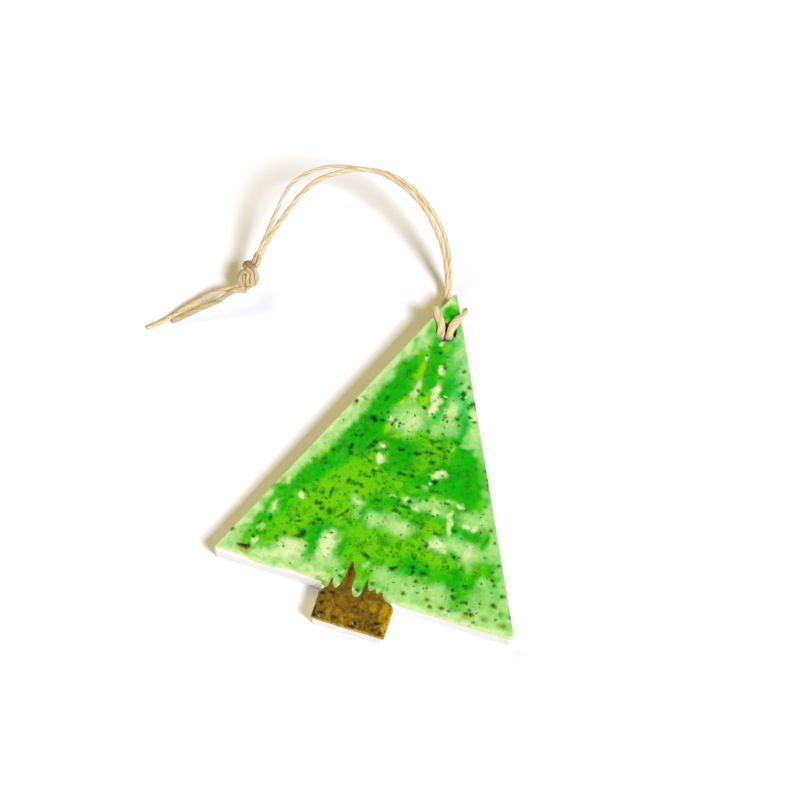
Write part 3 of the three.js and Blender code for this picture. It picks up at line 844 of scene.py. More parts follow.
GLOW = dabs("""
-4.5 -17.6 2.5 1.4 0 .9; -2 -21.5 5 1.7 85 .9; 1 -28.6 3.2 1.2 80 1; 1.2 -30.6 1.4 1 0 1;
4 -11.2 1.6 1.2 0 .9; -.3 -7.8 1.6 1.2 0 .9; 1 -3.6 1.6 1.2 0 .9; 2.2 -14.5 3 2 60 .6;
-3.4 -30.5 3 1.7 60 .9; -4.9 -37.8 3 1.5 80 .9; -2.2 -38.8 3 1.2 20 .8; 1.2 -37 2.6 1.5 30 .8;
-4.4 -47.6 1.6 1 0 1; -17.6 -47.5 3.6 1.6 60 .8; -19.8 -49.8 2 1.5 0 .9; -6.9 -78.2 2.4 1 0 .8
""")
MINT = dabs("""
-8.8 -25 4 2.4 70 .9; -11.6 -29 6 3 65 .9; -11.5 -31.3 3 2.4 0 .7; -13 -35 6 2.8 60 .8;
-14.7 -38.6 6 3.2 62 1; -16.7 -42.3 6 3.2 65 1; -18.2 -46 5 2.4 65 .9; -20.8 -50.5 5 2.2 65 .9;
-23 -55 5 1.8 66 .9; 5.6 -14.5 7 2.6 75 .8; 8.2 -18 6 2.4 68 .8; -3.3 -14.3 5 2.6 65 .8;
-5.4 -18 4 2.4 66 .5; 9.8 -23.3 4 2 0 .8; 7.8 -29.5 6.5 3.3 85 .9; 8.5 -33.5 5 3.8 0 .7;
5.8 -34.8 3 3 0 .7; 14 -28.6 4.5 3 70 .9; 15 -33 6 3.4 75 .9; 15 -36.2 4 1.8 0 .7; -.9 -34 7.5 6.2 20 1;
-.4 -37.5 3 1.5 75 .8; -1.5 -29.4 2 1.5 0 .8; 20.5 -53.8 6 3.8 0 .85; 23 -52.5 5 2.8 75 .8;
20.5 -60.6 10 3.4 -5 .95; 22 -62.8 2.4 4 20 .8; 26.8 -59 5 3 70 .7; 27 -67 3 2.2 0 .7;
14.5 -61.5 4.6 3.2 0 1; 12 -51.6 6 1.5 10 .8; 9.5 -53.3 7 2.4 5 .8; 7 -54.4 2 1.7 0 .8; 13.5 -54 3 2 0 .6;
2.4 -59.7 9.5 3.4 0 .9; 5.5 -60.8 2.4 3 10 .8; -1.8 -60.3 3 2.8 0 .8; -6.2 -56.9 3.2 2.3 0 .85;
-5.5 -59.5 1.5 3 0 .4; -28 -66 6 1.6 78 .9; -26.3 -61.5 4 1.3 70 .6; -24.2 -63.9 3.4 1.5 80 .8;
-25.3 -69.1 1.6 1.2 0 .7; -30.8 -72.5 6 3.2 60 .7; -31 -75 6 3 0 .8; -24 -75.6 9 2.8 0 .9;
-17.5 -74 9 4.4 0 .8; -8.5 -73 6 4.8 0 .9; -10 -75.7 9 2.8 0 .9; 12 -73.6 12 5.2 0 .85;
5 -72.6 6 3.6 30 .7; 3.4 -71 3 1.8 20 .5; 18 -73 6 4.8 0 .8; 28 -72 12 6 60 .6; 31 -74.5 10 3 0 .8;
24 -76.6 14 2.4 0 .9; 33 -70 8 2.4 65 .8; .2 -71 1.2 1.8 0 .8; .1 -75 1.6 1.3 0 .9; -4.6 -76.8 1.3 2.2 0 1;
-3.9 -73.9 1.2 1.2 0 .9
""")
CREAM = dabs("""
3 -26.2 5 2 84 1; 3.8 -29.6 5 2 78 1; 2.6 -20.4 1.8 1.5 0 1; -1.6 -26.5 4.6 1.5 88 .9; .4 -34.8 3 3 0 .4;
-4.9 -42.3 1.8 1.5 0 1; -4.4 -45.3 2.4 2.1 80 1; -4.9 -35.2 1.4 1.2 0 .8; -3 -36.4 1.2 1 0 .5;
9.8 -45.2 3.4 1.9 20 1; 8.5 -47.7 .9 .8 0 .8; 16.7 -51 1.7 1 15 1; 10.8 -38.2 1.4 .8 80 .5;
7.6 -49.2 1.6 1 0 .4; .8 -13.6 1.2 .7 0 .9; -1.8 -18 .9 1.4 0 .8; 5.5 -26.3 .5 .5 0 .9; 7.8 -29 2 3.6 0 .5;
13.2 -28.7 2.4 1.5 0 .6; 9.9 -24.9 .5 .6 0 .8; 14.9 -53.4 2.6 1.2 80 .8; 15.8 -56.4 4.4 1.1 100 .9;
19.5 -55.2 1.8 1.5 0 .8; 21.4 -55.5 1.5 1.1 80 .9; 11.6 -54.2 1.8 2 0 .6; 7 -54.5 1.4 1.1 0 .6;
14.4 -61.4 3.4 2.1 0 .9; 21.4 -62 4.4 1.5 80 .6; 16.3 -62.4 .9 .7 0 .8; -18.8 -59.3 1.7 1.5 0 1;
-23.1 -57 1.4 1.5 70 .8; -24 -63.6 2.4 1 80 .5; -25.8 -72.8 2.2 1 75 .9; -9.6 -68.7 7 3.7 86 1;
-17.5 -72.3 6 5.2 0 .85; -19.5 -74 5 2.6 20 .7; -16 -71 3.6 2.8 0 .7; -10.5 -75.7 6 1.5 0 .7;
-24 -75.3 5 1.5 5 .6; 1.3 -53.2 1.6 1 0 .6; 4.2 -53 1.5 1.1 0 .7; 5.2 -60 2.6 2.4 0 .4; -6 -57 1.8 1.4 0 .5
""")
TEAL = dabs("""
9.8 -26.5 5 3 80 .6; 10.3 -28.3 1.6 1.3 0 .9; 10.6 -24.6 1.5 1 80 .8; 5.4 -31.5 3 1.2 85 .7;
5 -33 2.4 2 0 .5; 7 -25 1.5 1.4 0 .6; 14.3 -36.8 1.6 1.2 0 .5; 2.6 -34.8 1.6 1.2 0 .6; 28 -60 4 2 70 .4;
26.9 -58.8 2.6 1.8 60 .4; 32.5 -71.5 4 2 60 .4; -4 -13 3 2 60 .5; 7.5 -16 4 2 60 .4; 18.5 -58.5 4 1.3 0 .4;
-5.6 -16 3 1.6 60 .5; 30 -69 6 3 60 .3
""")
OLIVE = dabs("""
3.3 -28.1 .9 .6 0 1; -14.2 -34.1 1 .8 0 .8; -11.1 -28.4 .8 .5 0 .6; 9.8 -30.7 1.6 1.2 0 .7;
13.8 -30.4 1.5 .6 10 .7; 6.8 -31.2 1.2 1.3 0 .5; 7 -33.5 1.3 .8 0 .5; -4.9 -41.5 2.2 .8 0 .8;
12.9 -26.6 .8 .6 0 .8; 20.7 -42 3 1 75 .6; -27.4 -75 3.6 2.3 0 .9; -31.5 -71.8 1.6 1.2 0 .7;
-19.4 -71.4 .7 .6 0 .7; -20.2 -72.6 .7 .6 0 .6; -15.3 -72.2 .8 .9 0 .6; -9 -69.7 .7 .4 0 .8;
-10.2 -66 1.2 .7 40 .7; -17.3 -69 3 1 10 .6; -24 -57 1.4 1.5 0 .7; -8.9 -77 1.6 1 0 .9;
-7.4 -77.6 1.8 1.3 0 .9; 16 -74.4 1.6 1.3 0 .8; 17.1 -75.8 1.4 1 0 .8; 19.7 -75.3 1.8 1 0 .8;
21 -76.6 1 .6 0 .6; 25.4 -75.3 2.4 2 30 .8; 26.6 -74.9 1.6 1.5 0 .7; 27.5 -76.4 1 .7 0 .8;
26.8 -77.4 .8 .5 0 .8; 29.7 -75 2.2 1.6 0 .7; 34.1 -75.2 2.2 1.6 0 .7; 32.1 -68.7 1.6 1.2 0 .6;
30.8 -71.3 1.8 1.4 0 .6; 35 -72.8 1.4 .8 10 .8; 12.3 -71.2 1.6 1.5 0 .5; 24 -72.6 2.4 1 -10 .7;
28.3 -72.6 1.4 .9 0 .4; 31.5 -66.5 .8 .6 0 .6; 25.5 -61.2 1 .7 0 .5; 22.8 -57.8 1 .7 0 .6;
26.7 -57.2 .8 .7 0 .6; 10.4 -74.6 1.2 1 0 .4; 12 -58 2 1 0 .4; 1.5 -59.2 1.4 .8 0 .6; 2.4 -60.2 .6 .5 0 .4;
-6.4 -56.3 1 .6 0 .8; -6.2 -55.2 2.6 1.2 0 .6
""")
SPECK = dabs("""
.8 -6.3 .8 .7 0 1; 1.1 -16 .7 .6 0 1; 3 -19.4 .8 .5 0 .9; 7.8 -19 .8 .7 0 .9; 8 -22 .5 .5 0 .8;
10.1 -22.5 .9 .6 0 .8; 9.3 -24.4 1 1.2 0 .8; 9.6 -25.7 .7 .5 0 .8; 12.2 -26.2 2.2 .8 40 .9;
13.4 -27 .8 .6 -30 .9; 11.4 -27.5 .7 .5 0 .7; 12.4 -29.6 .8 .5 0 .8; 13.8 -30.4 1.3 .4 15 .7;
9.8 -30.8 .9 .6 0 1; 6.9 -31.2 .8 .8 0 .6; 4.5 -32 .6 .5 0 .7; -1.1 -26.8 .7 .7 0 .8; .3 -27.5 .7 .6 0 .8;
-4.6 -23 .9 1.3 0 .5; -6 -21 .8 .6 0 .5; -7.4 -30.7 1.3 .6 75 1; -6.1 -34 .7 .6 0 .9; -3.9 -35.3 .7 .7 0 1;
-4.3 -36.5 .5 .9 0 .9; .2 -35.6 .5 .4 0 .4; -12.7 -32 .7 .5 20 .6; -12 -32.4 .6 .4 0 .6;
-15.5 -38.9 .6 .5 0 .5; -10.3 -41.2 1 .5 70 .9; -11.5 -41.6 .9 .4 0 .9; -11.4 -40.5 .8 .4 20 .7;
-7.5 -43.2 1.6 1 60 .8; -6.1 -44 .9 .5 0 .8; 1.6 -42.4 .6 .5 0 .8; -15.5 -46.5 .7 .6 0 .8;
-16.8 -49.3 .8 .5 20 .7; -16.2 -50.2 .6 .5 0 .7; -19.1 -49.9 .9 .5 10 .6; -.8 -45.6 .5 .7 0 .4;
-6.5 -46.8 1 .5 -30 .8; -3.3 -48.4 .9 .5 0 .8; -4.8 -48.6 1 .6 0 .8; -5.4 -50.4 .9 .5 0 .8;
1.6 -47.5 2.2 .5 0 .9; 3.9 -47.2 1.1 .6 -20 1; 5.9 -49.6 .8 .5 0 .9; 4.2 -35.7 .7 .8 0 .8;
11.4 -36.5 .9 .6 0 1; 7.4 -37.3 1 .6 0 .8; 6 -37.8 .8 .5 -20 .9; 8 -39 1.1 .7 0 1; 10.1 -39 .6 .5 0 .9;
10.2 -37.1 .5 .5 0 .7; 6 -40.7 2.4 .5 8 .9; 8.3 -40.5 .6 .4 0 .7; 10 -41 .8 .5 -10 1;
7.2 -42.9 1.1 .8 0 .9; 17.5 -41.3 1 .8 0 .3; 19.6 -41.2 .7 .5 0 .7; 20.9 -43 .7 .5 0 .7;
20.5 -41.5 .5 .5 0 .6; 21.2 -44.3 .5 .4 0 .6; 21.4 -45.4 .5 .4 0 .6; 22.2 -49.4 .7 .5 0 .5;
22.3 -51.2 .6 .5 0 .5; 10 -49.5 2 .7 5 .7; 13.4 -51.4 1 .5 0 1; 12.2 -51.7 .5 .4 0 .7; 8.9 -52 1 .4 0 .8;
7.5 -52.1 .6 .4 0 .7; 10.2 -51.8 .5 .3 0 .6; -9.7 -52.7 1.3 .5 85 1; -7.9 -53.1 1.2 .6 30 1;
-6.5 -53 1.2 .6 -30 1; -7.1 -54.8 .6 .6 0 1; -12.6 -56.6 2 .5 85 .9; -16.7 -54.8 .5 .6 0 .7;
-11.8 -53.5 .5 .4 0 .5; -18.9 -57.9 .7 .5 0 1; -13.6 -61 .7 .7 0 .8; -11.5 -61.2 1.1 1.1 0 1;
-7.9 -60 1.6 .4 60 1; -9 -61.3 1.6 .4 48 1; -13.2 -63.6 1.2 .5 0 .8; -14.2 -65 .9 .6 0 .8;
-12.2 -64.4 .5 .5 0 .7; -18 -64.3 .7 .5 -30 .8; -17.5 -65.4 1.3 .4 25 1; -24.1 -66.5 .6 1 0 .9;
-19.8 -69 .7 .6 0 .8; -21.3 -70.5 .6 .8 0 .6; -26 -68.3 .6 .5 0 .6; -25.9 -70.5 .6 .5 0 1;
-25.6 -71.1 .5 .5 0 .7; -26.3 -71.9 .6 .6 0 1; -31.5 -71.7 .7 .6 0 1; -.6 -68.6 1.9 .6 -15 .9;
.3 -68.9 .6 .5 0 .9; 4.2 -54.9 2.2 .6 4 1; 2.8 -56.4 1.5 .6 5 1; 5.3 -53.4 .9 .6 0 1; 2.8 -54 .5 .6 0 .8;
-1.8 -55.3 1.2 .7 0 .7; -4 -54.4 .6 .4 0 .7; -5.3 -55.4 .5 .4 0 .7; -3 -53 .6 .4 0 .6; 0 -53.1 .5 .5 0 .7;
6 -56.1 .5 .5 0 .8; 8.6 -57.7 .5 .5 0 .8; 8.6 -55.8 .5 .5 0 .7; 13.5 -59 1.4 .6 0 .8; 12 -62.3 .8 1.2 0 1;
11 -61.5 .8 .4 -20 .8; 10.8 -63.6 .6 .6 0 .7; 18.8 -63.2 .7 .7 0 1; 17.2 -57.1 1 .7 0 .7;
10.3 -66 .8 .5 0 .7; 13.7 -67 .6 .5 0 .8; 13.4 -68.8 1.4 .7 0 .8; 12.3 -71.1 .7 .6 0 1; 7 -69.3 1 .5 35 .8;
10.4 -74.6 .8 .7 0 .8; 10.4 -72.5 .6 .4 0 .6; 16 -74.4 .6 .5 0 1; 17 -75.8 .6 .5 0 .7;
3.1 -74.6 .8 .7 0 .9; .4 -77.1 .8 .7 0 .9; 23.4 -69.1 1 .8 0 1; 20.9 -70.6 .8 .6 0 .9;
21.5 -72.1 1.1 .8 0 1; 24.3 -72.6 1 .6 0 .9; 23.6 -72.8 .5 .5 0 .9; 25.8 -73.9 .8 .5 0 .8;
25.2 -74.9 .7 .6 0 .8; 26.5 -74.8 .8 .6 0 .9; 27.5 -76.4 .4 .4 0 .7; 21.5 -75.5 .8 .6 0 .7;
19.7 -75.4 .8 .4 0 .8; 29.2 -62 .8 .6 0 1; 28.2 -64 .6 .6 0 .7; 28.8 -65.8 .8 .5 0 .8;
29.6 -66.8 .7 .6 0 .9; 32 -68.7 .8 .6 0 1; 30.7 -71.3 .9 .7 0 1; 35.2 -72.8 .7 .4 0 .8;
32.6 -72.9 .6 .5 0 .6; 32 -74.4 .4 .4 0 .6; 22.8 -57.8 .7 .4 0 .8; 25 -54.6 .7 .7 0 .7;
26.8 -57.2 .5 .5 0 .7; 25.6 -61.2 .5 .5 0 .6; -4.4 -75 .7 .6 0 .9; 9.3 -63.5 .5 .5 0 .5;
-14.4 -57.2 .6 .7 0 .6; -8.9 -55.4 .4 .5 0 .6
""")
BLACK = dabs("""
-8.7 -36.6 1.7 .9 -15 1; -8.9 -36.2 .8 1 0 .8; -6.8 -36.3 .8 .6 0 .8; -.4 -41.9 1.3 .7 5 1;
3.5 -41.7 1.6 .6 10 .9; -11.8 -44.6 1.4 .8 85 .9; -11.2 -46.2 1 .7 0 .7; -6.7 -41.8 1.3 .6 20 .8;
1.6 -30.4 .9 .6 -10 1; -14 -33.4 .6 .5 0 1; 9.4 -47.2 1.1 .9 0 1; 8.7 -44.2 1 .4 10 .8;
-14.6 -60 1.6 .6 10 1; -15.8 -67.9 1.5 1.2 70 1; -16.6 -68.9 1.4 .5 10 .9; -27.7 -74.7 2.1 .7 5 .9;
-26.7 -74.6 1.1 .7 80 .9; 6.2 -69.9 1.1 .8 0 1; 10.7 -68.2 1.1 .7 0 .7; 11 -69.4 1.1 .6 99 .7;
29.6 -75 .8 .7 0 .8; 34.2 -75.2 .8 .7 0 .8; -4 -42.9 .8 .4 20 .7
""")
green_tables = (DEEP, LIME, GLOW, MINT, CREAM, TEAL, OLIVE, SPECK, BLACK)
print("dabs on the green coat:", sum(len(marks) for marks in green_tables))

# %% [markdown]
# ## Two glaze coats
# Each coat is a closed skin over the clay, about 0.3 mm thick, whose edge rolls over. The green coat
# covers the triangle and stops just short of its edges, and its left lower edge wavers. The brown coat
# covers the trunk, and its brush strokes run up over the green.

# %% The brush strokes of the brown coat
STROKES = [
    (-7.85, -86.1), (9.45, -86.1), (9.5, -79.0), (9.1, -78.3), (8.3, -77.65), (7.0, -77.4), (6.5, -76.8),
    (6.2, -75.9), (5.5, -75.7), (4.9, -76.6), (4.1, -75.2), (3.6, -76.1), (2.9, -76.3), (2.45, -75.2),
    (1.95, -73.2), (1.45, -74.6), (1.3, -77.2), (0.9, -78.3), (0.3, -78.6), (-0.4, -78.2), (-0.95, -76.5),
    (-0.9, -74.4), (-1.1, -73.3), (-1.8, -72.6), (-2.2, -71.1), (-3.1, -70.5), (-3.3, -72.2),
    (-3.4, -74.4), (-4.0, -76.8), (-4.6, -78.1), (-5.3, -77.2), (-5.7, -75.6), (-6.3, -76.2),
    (-6.5, -78.2), (-7.5, -79.1), (-7.9, -80.0),
]


def softened(polygon, spacing, spread):
    """A closed outline whose corners are smoothed: every wave of the line with frequency f is
    weakened by the Gaussian exp(-(2 pi f spread)^2 / 2)."""
    line, _ = even_loop(np.asarray(polygon, float), 0.05)
    rate = np.fft.fftfreq(len(line), 0.05)
    weaker = np.exp(-((TAU * rate * spread) ** 2) / 2)[:, None]
    return even_loop(np.fft.ifft(np.fft.fft(line, axis=0) * weaker, axis=0).real, spacing)


brown_outline = softened(STROKES, 0.15, 0.18)
print("brown outline points:", len(brown_outline[0]))


# %% [markdown]
# ## Waves and moved places
# The coats follow the slab's waves and add the brush's own. A place is moved a little by noise before
# the tables are asked what covers it, so that painted edges come out uneven.


# %% Places on the coats
def glaze_waves(x, y):
    """Height of the glaze above its plane: the slab's waves, the brush's, and a fine orange peel."""
    return hand_rolled(x, y) + 0.03 * ripple(x, y, 2.6, 51) + 0.012 * ripple(x, y, 0.9, 52)


def shifted(x, y):
    """Moves places by noise, so that painted edges come out uneven."""
    dx = 0.24 * ripple(x, y, 3.0, 61) + 0.09 * ripple(x, y, 1.3, 62)
    dy = 0.34 * ripple(x, y, 3.0, 63) + 0.11 * ripple(x, y, 1.3, 64)
    return x + dx, y + dy


LEFT_IN = np.array([0.91376, -0.40625])
RIGHT_IN = np.array([-0.89993, -0.43605])
print("directions in from the left and right sides:", LEFT_IN, RIGHT_IN)

# %% [markdown]
# ## The green coat
# A thin plate over the triangle. Its foot wavers on the left, and it runs on under the brown coat, so
# that no clay shows between the strokes. lift moves the foot by a table along x.

# %% Shape of the green coat
coat_rim = [
    (0.5, 5.3), (0.12, 5.45), (0.02, 5.7), (0.02, 5.9),
    (0.09, 6.12), (0.22, 6.27), (0.38, 6.35), (0.5, 6.38),
]
hole_side = [(0.3, 5.4), (0.04, 5.8), (0.0, 6.05), (0.06, 6.22), (0.17, 6.33), (0.32, 6.38)]
points, faces = plate(
    rounded(CORNERS, [0.55, 0.7, 0.9], 0.2), coat_rim, 0.22, hole_loop(HOLE_RADIUS + 0.1, 0.2), hole_side
)
x, y, z = points.T.copy()
lift_at = [-34.5, -31, -28, -24.5, -20, -15.5, -11, -8.2, -7.2, -6.4, 6.0, 7.6, 8.8, 25, 37.6]
lift_by = [0.4, 0.6, 0.5, 0.1, 0.05, 0.5, 0.2, 0.15, -0.9, -1.7, -1.7, -0.9, 0.0, -0.05, 0.0]
lift = np.interp(x, lift_at, lift_by)
y += lift * np.exp(-np.maximum(y - BASE_Y, 0) / 1.2)
print("green coat:", len(x), "points")

# %% [markdown]
# ## Thin glaze and a painted highlight at the borders
# Towards its edges the glaze ran thin: mint, then cream, less so on the right and where the brush went
# over. Along the right side the pale band is partly thin glaze and partly painted highlight on the
# rolled edge that faces the key light. from_left, from_right and from_base are distances in from the
# three sides, in mm. The patch at the apex and the notch between the strokes are full of colour up to
# the edge.

# %% Thin glaze and painted highlight at the borders
wavy_x, wavy_y = shifted(x, y)
from_left = x * LEFT_IN[0] + y * LEFT_IN[1] + 0.5 * ripple(x, y, 3.0, 71)
from_right = x * RIGHT_IN[0] + y * RIGHT_IN[1] + 0.5 * ripple(x, y, 3.0, 72)
from_base = y - BASE_Y + 0.5 * ripple(x, y, 3.0, 73)
bare_right = 1 - 0.85 * np.exp(-(((y + 43) / 3.5) ** 2))
bare_left = 1 - 0.8 * np.exp(-(((y + 58.5) / 2.5) ** 2))
rim_mint_and_highlight = 1 - smoothstep(0.6, 2.7, from_left / np.maximum(bare_left, 0.3))
# Along the right side: partly thin glaze, partly painted highlight on the rolled edge that faces the key
# light.
rim_mint_and_highlight = np.maximum(rim_mint_and_highlight, 0.62 * bare_right * (1 - smoothstep(0.6, 2.6, from_right)))
rim_mint_and_highlight = np.maximum(rim_mint_and_highlight, 1 - smoothstep(1.0, 3.4, from_base)) * (y > -77.7)
cream_left = 0.6 * bare_left * (1 - smoothstep(0.3, 1.6, from_left))
rim_cream = np.maximum(cream_left, 0.75 * (1 - smoothstep(0.3, 1.5, from_base)))
apex_patch = paint(x, y, dabs(".9 -6.2 6.2 3.2 62 1; .4 -4.6 3.2 2.6 60 1; 1.2 -7.6 3 2.6 60 .9"), 0.45)
rim_mint_and_highlight *= 1 - 0.95 * apex_patch
notch = paint(x, y, dabs(".7 -74.6 6 3 88 1; -3.2 -74.6 2 1.2 88 .7; -7.6 -75 2.6 2.4 60 .6"), 0.4)
rim_mint_and_highlight *= 1 - 0.9 * notch
rim_cream *= (1 - apex_patch) * (1 - 0.9 * notch)
jade = 0.5 * (1 - smoothstep(1.0, 7.0, from_right)) * smoothstep(-40, -34, y) * smoothstep(-9, -13, y)
mint_marks = paint(wavy_x, wavy_y, MINT, 0.7) * (1 - apex_patch) * (1 - 0.85 * notch)
print("border cover: mint", round(float(rim_mint_and_highlight.mean()), 2), "cream", round(float(rim_cream.mean()), 2))

# %% [markdown]
# ## Where each colour lies
# Each mask says how much one colour covers each point of the front. Most come from the tables of dabs,
# joined with the borders. busy is where specks and clots may lie, away from the edges. The thicker
# colours also stand a little higher.

# %% Where each colour lies
masks = {
    "lime": 1 - (1 - paint(wavy_x, wavy_y, LIME, 0.6)) * (1 - 0.9 * notch),
    "deep": 1 - (1 - paint(wavy_x, wavy_y, DEEP, 0.65)) * (1 - apex_patch),
    "glow": paint(wavy_x, wavy_y, GLOW, 0.7),
    "teal": 1 - (1 - paint(wavy_x, wavy_y, TEAL, 0.7)) * (1 - jade),
    # The mint mask also holds the painted highlight along the right edge.
    "mint_and_highlight": 1 - (1 - mint_marks) * (1 - rim_mint_and_highlight),
    "cream": 1 - (1 - paint(wavy_x, wavy_y, CREAM, 0.5)) * (1 - rim_cream),
    "busy": smoothstep(1.0, 4.5, np.minimum(np.minimum(from_left, from_right), from_base)),
}
fine_x, fine_y = x + 0.12 * ripple(x, y, 0.7, 65), y + 0.12 * ripple(x, y, 0.7, 66)
stroke_edge = clearance(np.c_[x, y][y < -68], brown_outline[0][::4])
near_strokes = np.zeros_like(x)
near_strokes[y < -68] = smoothstep(-0.9, -0.1, stroke_edge)
near_strokes *= np.clip(0.4 + 0.35 * ripple(x, y, 1.6, 66), 0.0, 0.8)
masks["olive"] = 1 - (1 - paint(fine_x, fine_y, OLIVE, 0.6)) * (1 - near_strokes)
BOLDER = np.array([1, 1, 1.35, 1.35, 1, 1.2])
MOST = [np.inf] * 5 + [1]
masks["speck"] = paint(fine_x, fine_y, np.minimum(SPECK * BOLDER, MOST), 0.6)
masks["black"] = paint(fine_x, fine_y, np.minimum(BLACK * BOLDER, MOST), 0.6)
masks["black"] *= 1 - 0.6 * smoothstep(10, 18, x) * smoothstep(-58, -64, y)

thick = 0.03 * masks["deep"] - 0.03 * masks["mint_and_highlight"] + 0.07 * masks["cream"] * (1 - rim_cream)
thick += 0.03 * masks["speck"]
z += (glaze_waves(x, y) + thick) * smoothstep(5.6, 6.35, z)
green_points = np.c_[x, y, z]
print("mean cover:", {key: round(float(mask.mean()), 2) for key, mask in masks.items()})

# %% [markdown]
# ## Green glaze
# A glossy copper-green glaze, brushed on and fired: glass with colour in it. To the eye it has small
# sharp highlights where its rolled edges turn to the light, and its colour goes from deep green to
# cream with its thickness. Each wash of colour lies over the ones before it. The smallest specks are
# the cells of a noise, about 1 mm apart, and only away from the edges.

# %% Green glaze material
green, tree, shader = new_material("brushed glossy green glaze", Roughness=0.16, IOR=1.5)
shader.inputs["Specular IOR Level"].default_value = 0.08
at = put(tree, "TexCoord").outputs["Object"]
fine = {"Vector": at, "Scale": 1 / (0.8 * MM), "Detail": 4.0, "Roughness": 0.6}
fine = put(tree, "TexNoise", fine).outputs["Fac"]
broad = {"Vector": at, "Scale": 1 / (5 * MM), "Detail": 4.0, "Roughness": 0.6}
broad = put(tree, "TexNoise", broad).outputs["Fac"]
broad = put(tree, "MapRange", {0: broad, 1: 0.35, 2: 0.65}).outputs[0]
hair = (1 / (0.7 * MM), 1 / (6 * MM), 1 / (3 * MM))
hairs = put(tree, "Mapping", {"Vector": at, "Scale": hair}).outputs["Vector"]
bristles = put(tree, "TexNoise", {"Vector": hairs, "Scale": 1.0, "Detail": 3.0}).outputs["Fac"]
weak = put(tree, "MapRange", {0: bristles, 1: 0.0, 2: 1.0, 3: 0.35, 4: 0.65}).outputs[0]
uneven = put(tree, "Math", {0: fine, 1: weak}, operation="ADD").outputs[0]


def wash(tree, ground, cover, code, spread):
    """Lays one colour over the ground. Noise thins its cover by up to the spread."""
    low = put(tree, "MapRange", {0: uneven, 1: 0.75, 2: 1.25, 3: 1 - spread, 4: 1 + spread / 2}).outputs[0]
    amount = put(tree, "Math", {0: cover, 1: low}, operation="MULTIPLY", use_clamp=True).outputs[0]
    return put(tree, "Mix", {0: amount, 6: ground, 7: linear(code)}, data_type="RGBA").outputs[2]


print("green glaze before its washes:", len(tree.nodes), "nodes")

# %% [markdown]
# ## Washes and specks
# The washes go on from the ground up: lime and deep green, dark clots, lime glow, teal, then mint and
# cream where the glaze ran thin, with painted highlight in the mint along the right edge, and olive
# rims. The specks come last, over all of them.

# %% Washes and specks
ground = {0: broad, 6: linear("#1CB400"), 7: linear("#58CC00")}
ground = put(tree, "Mix", ground, data_type="RGBA").outputs[2]
busy = put(tree, "Attribute", attribute_name="busy").outputs["Fac"]
clots = {"Vector": at, "Scale": 1 / (2.2 * MM), "Detail": 6.0, "Roughness": 0.75}
clots = put(tree, "TexNoise", clots).outputs["Fac"]
clots = put(tree, "MapRange", {0: clots, 1: 0.49, 2: 0.62}).outputs[0]
clots = put(tree, "Math", {0: clots, 1: busy}, operation="MULTIPLY").outputs[0]
for key, code, spread in (
    ("lime", "#6CCA00", 0.6), ("deep", "#00AE00", 0.35), ("clots", "#168A00", 0.6),
    ("glow", "#96D400", 0.4), ("teal", "#14C860", 0.5), ("mint_and_highlight", "#B4E288", 0.4),
    ("cream", "#DCEEAA", 0.3), ("olive", "#86AA00", 0.4),
):
    cover = clots if key == "clots" else put(tree, "Attribute", attribute_name=key).outputs["Fac"]
    ground = wash(tree, ground, cover, code, spread)
jitter = put(tree, "TexNoise", {"Vector": at, "Scale": 1 / (0.6 * MM), "Detail": 2.0}).outputs["Color"]
sway = (0.9 * MM, 0.9 * MM, 0.9 * MM)
jitter = put(tree, "VectorMath", {0: jitter, 1: sway}, operation="MULTIPLY").outputs[0]
jitter = put(tree, "VectorMath", {0: jitter, 1: at}, operation="ADD").outputs[0]
cells = put(tree, "TexVoronoi", {"Vector": jitter, "Scale": 1 / (0.95 * MM)})
chance = put(tree, "SeparateColor", {0: cells.outputs["Color"]}).outputs[0]
size = put(tree, "MapRange", {0: chance, 1: 0.4, 2: 1.0, 3: 0.0, 4: 0.3}).outputs[0]
for reach, edge, code in ((1.9, 4.0, "#3E9600"), (1.0, 12.0, "#0A5A0C")):
    gap = put(tree, "Math", {0: size, 1: reach}, operation="MULTIPLY").outputs[0]
    gap = put(tree, "Math", {0: gap, 1: cells.outputs["Distance"]}, operation="SUBTRACT").outputs[0]
    cover = put(tree, "Math", {0: gap, 1: edge}, operation="MULTIPLY", use_clamp=True).outputs[0]
    cover = put(tree, "Math", {0: cover, 1: busy}, operation="MULTIPLY").outputs[0]
    ground = wash(tree, ground, cover, code, 0.6)
for key, code, spread in (("speck", "#00500C", 0.4), ("black", "#061E08", 0.3)):
    ground = wash(tree, ground, put(tree, "Attribute", attribute_name=key).outputs["Fac"], code, spread)
colour_and_relief(tree, shader, ground, fine, 0.15, 0.03)

green_coat = build("green_glaze_coat", to_row(green_points), faces, green, masks)
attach(green_coat, "slab")
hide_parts("green_glaze")

# %% [markdown]
# ## The brown coat
# Golden brown and dark in the brush strokes, with coarse black specks that gather at
# the left and along the foot, and a bright gold line painted as highlight where it rolls over the
# edges that face the key light.

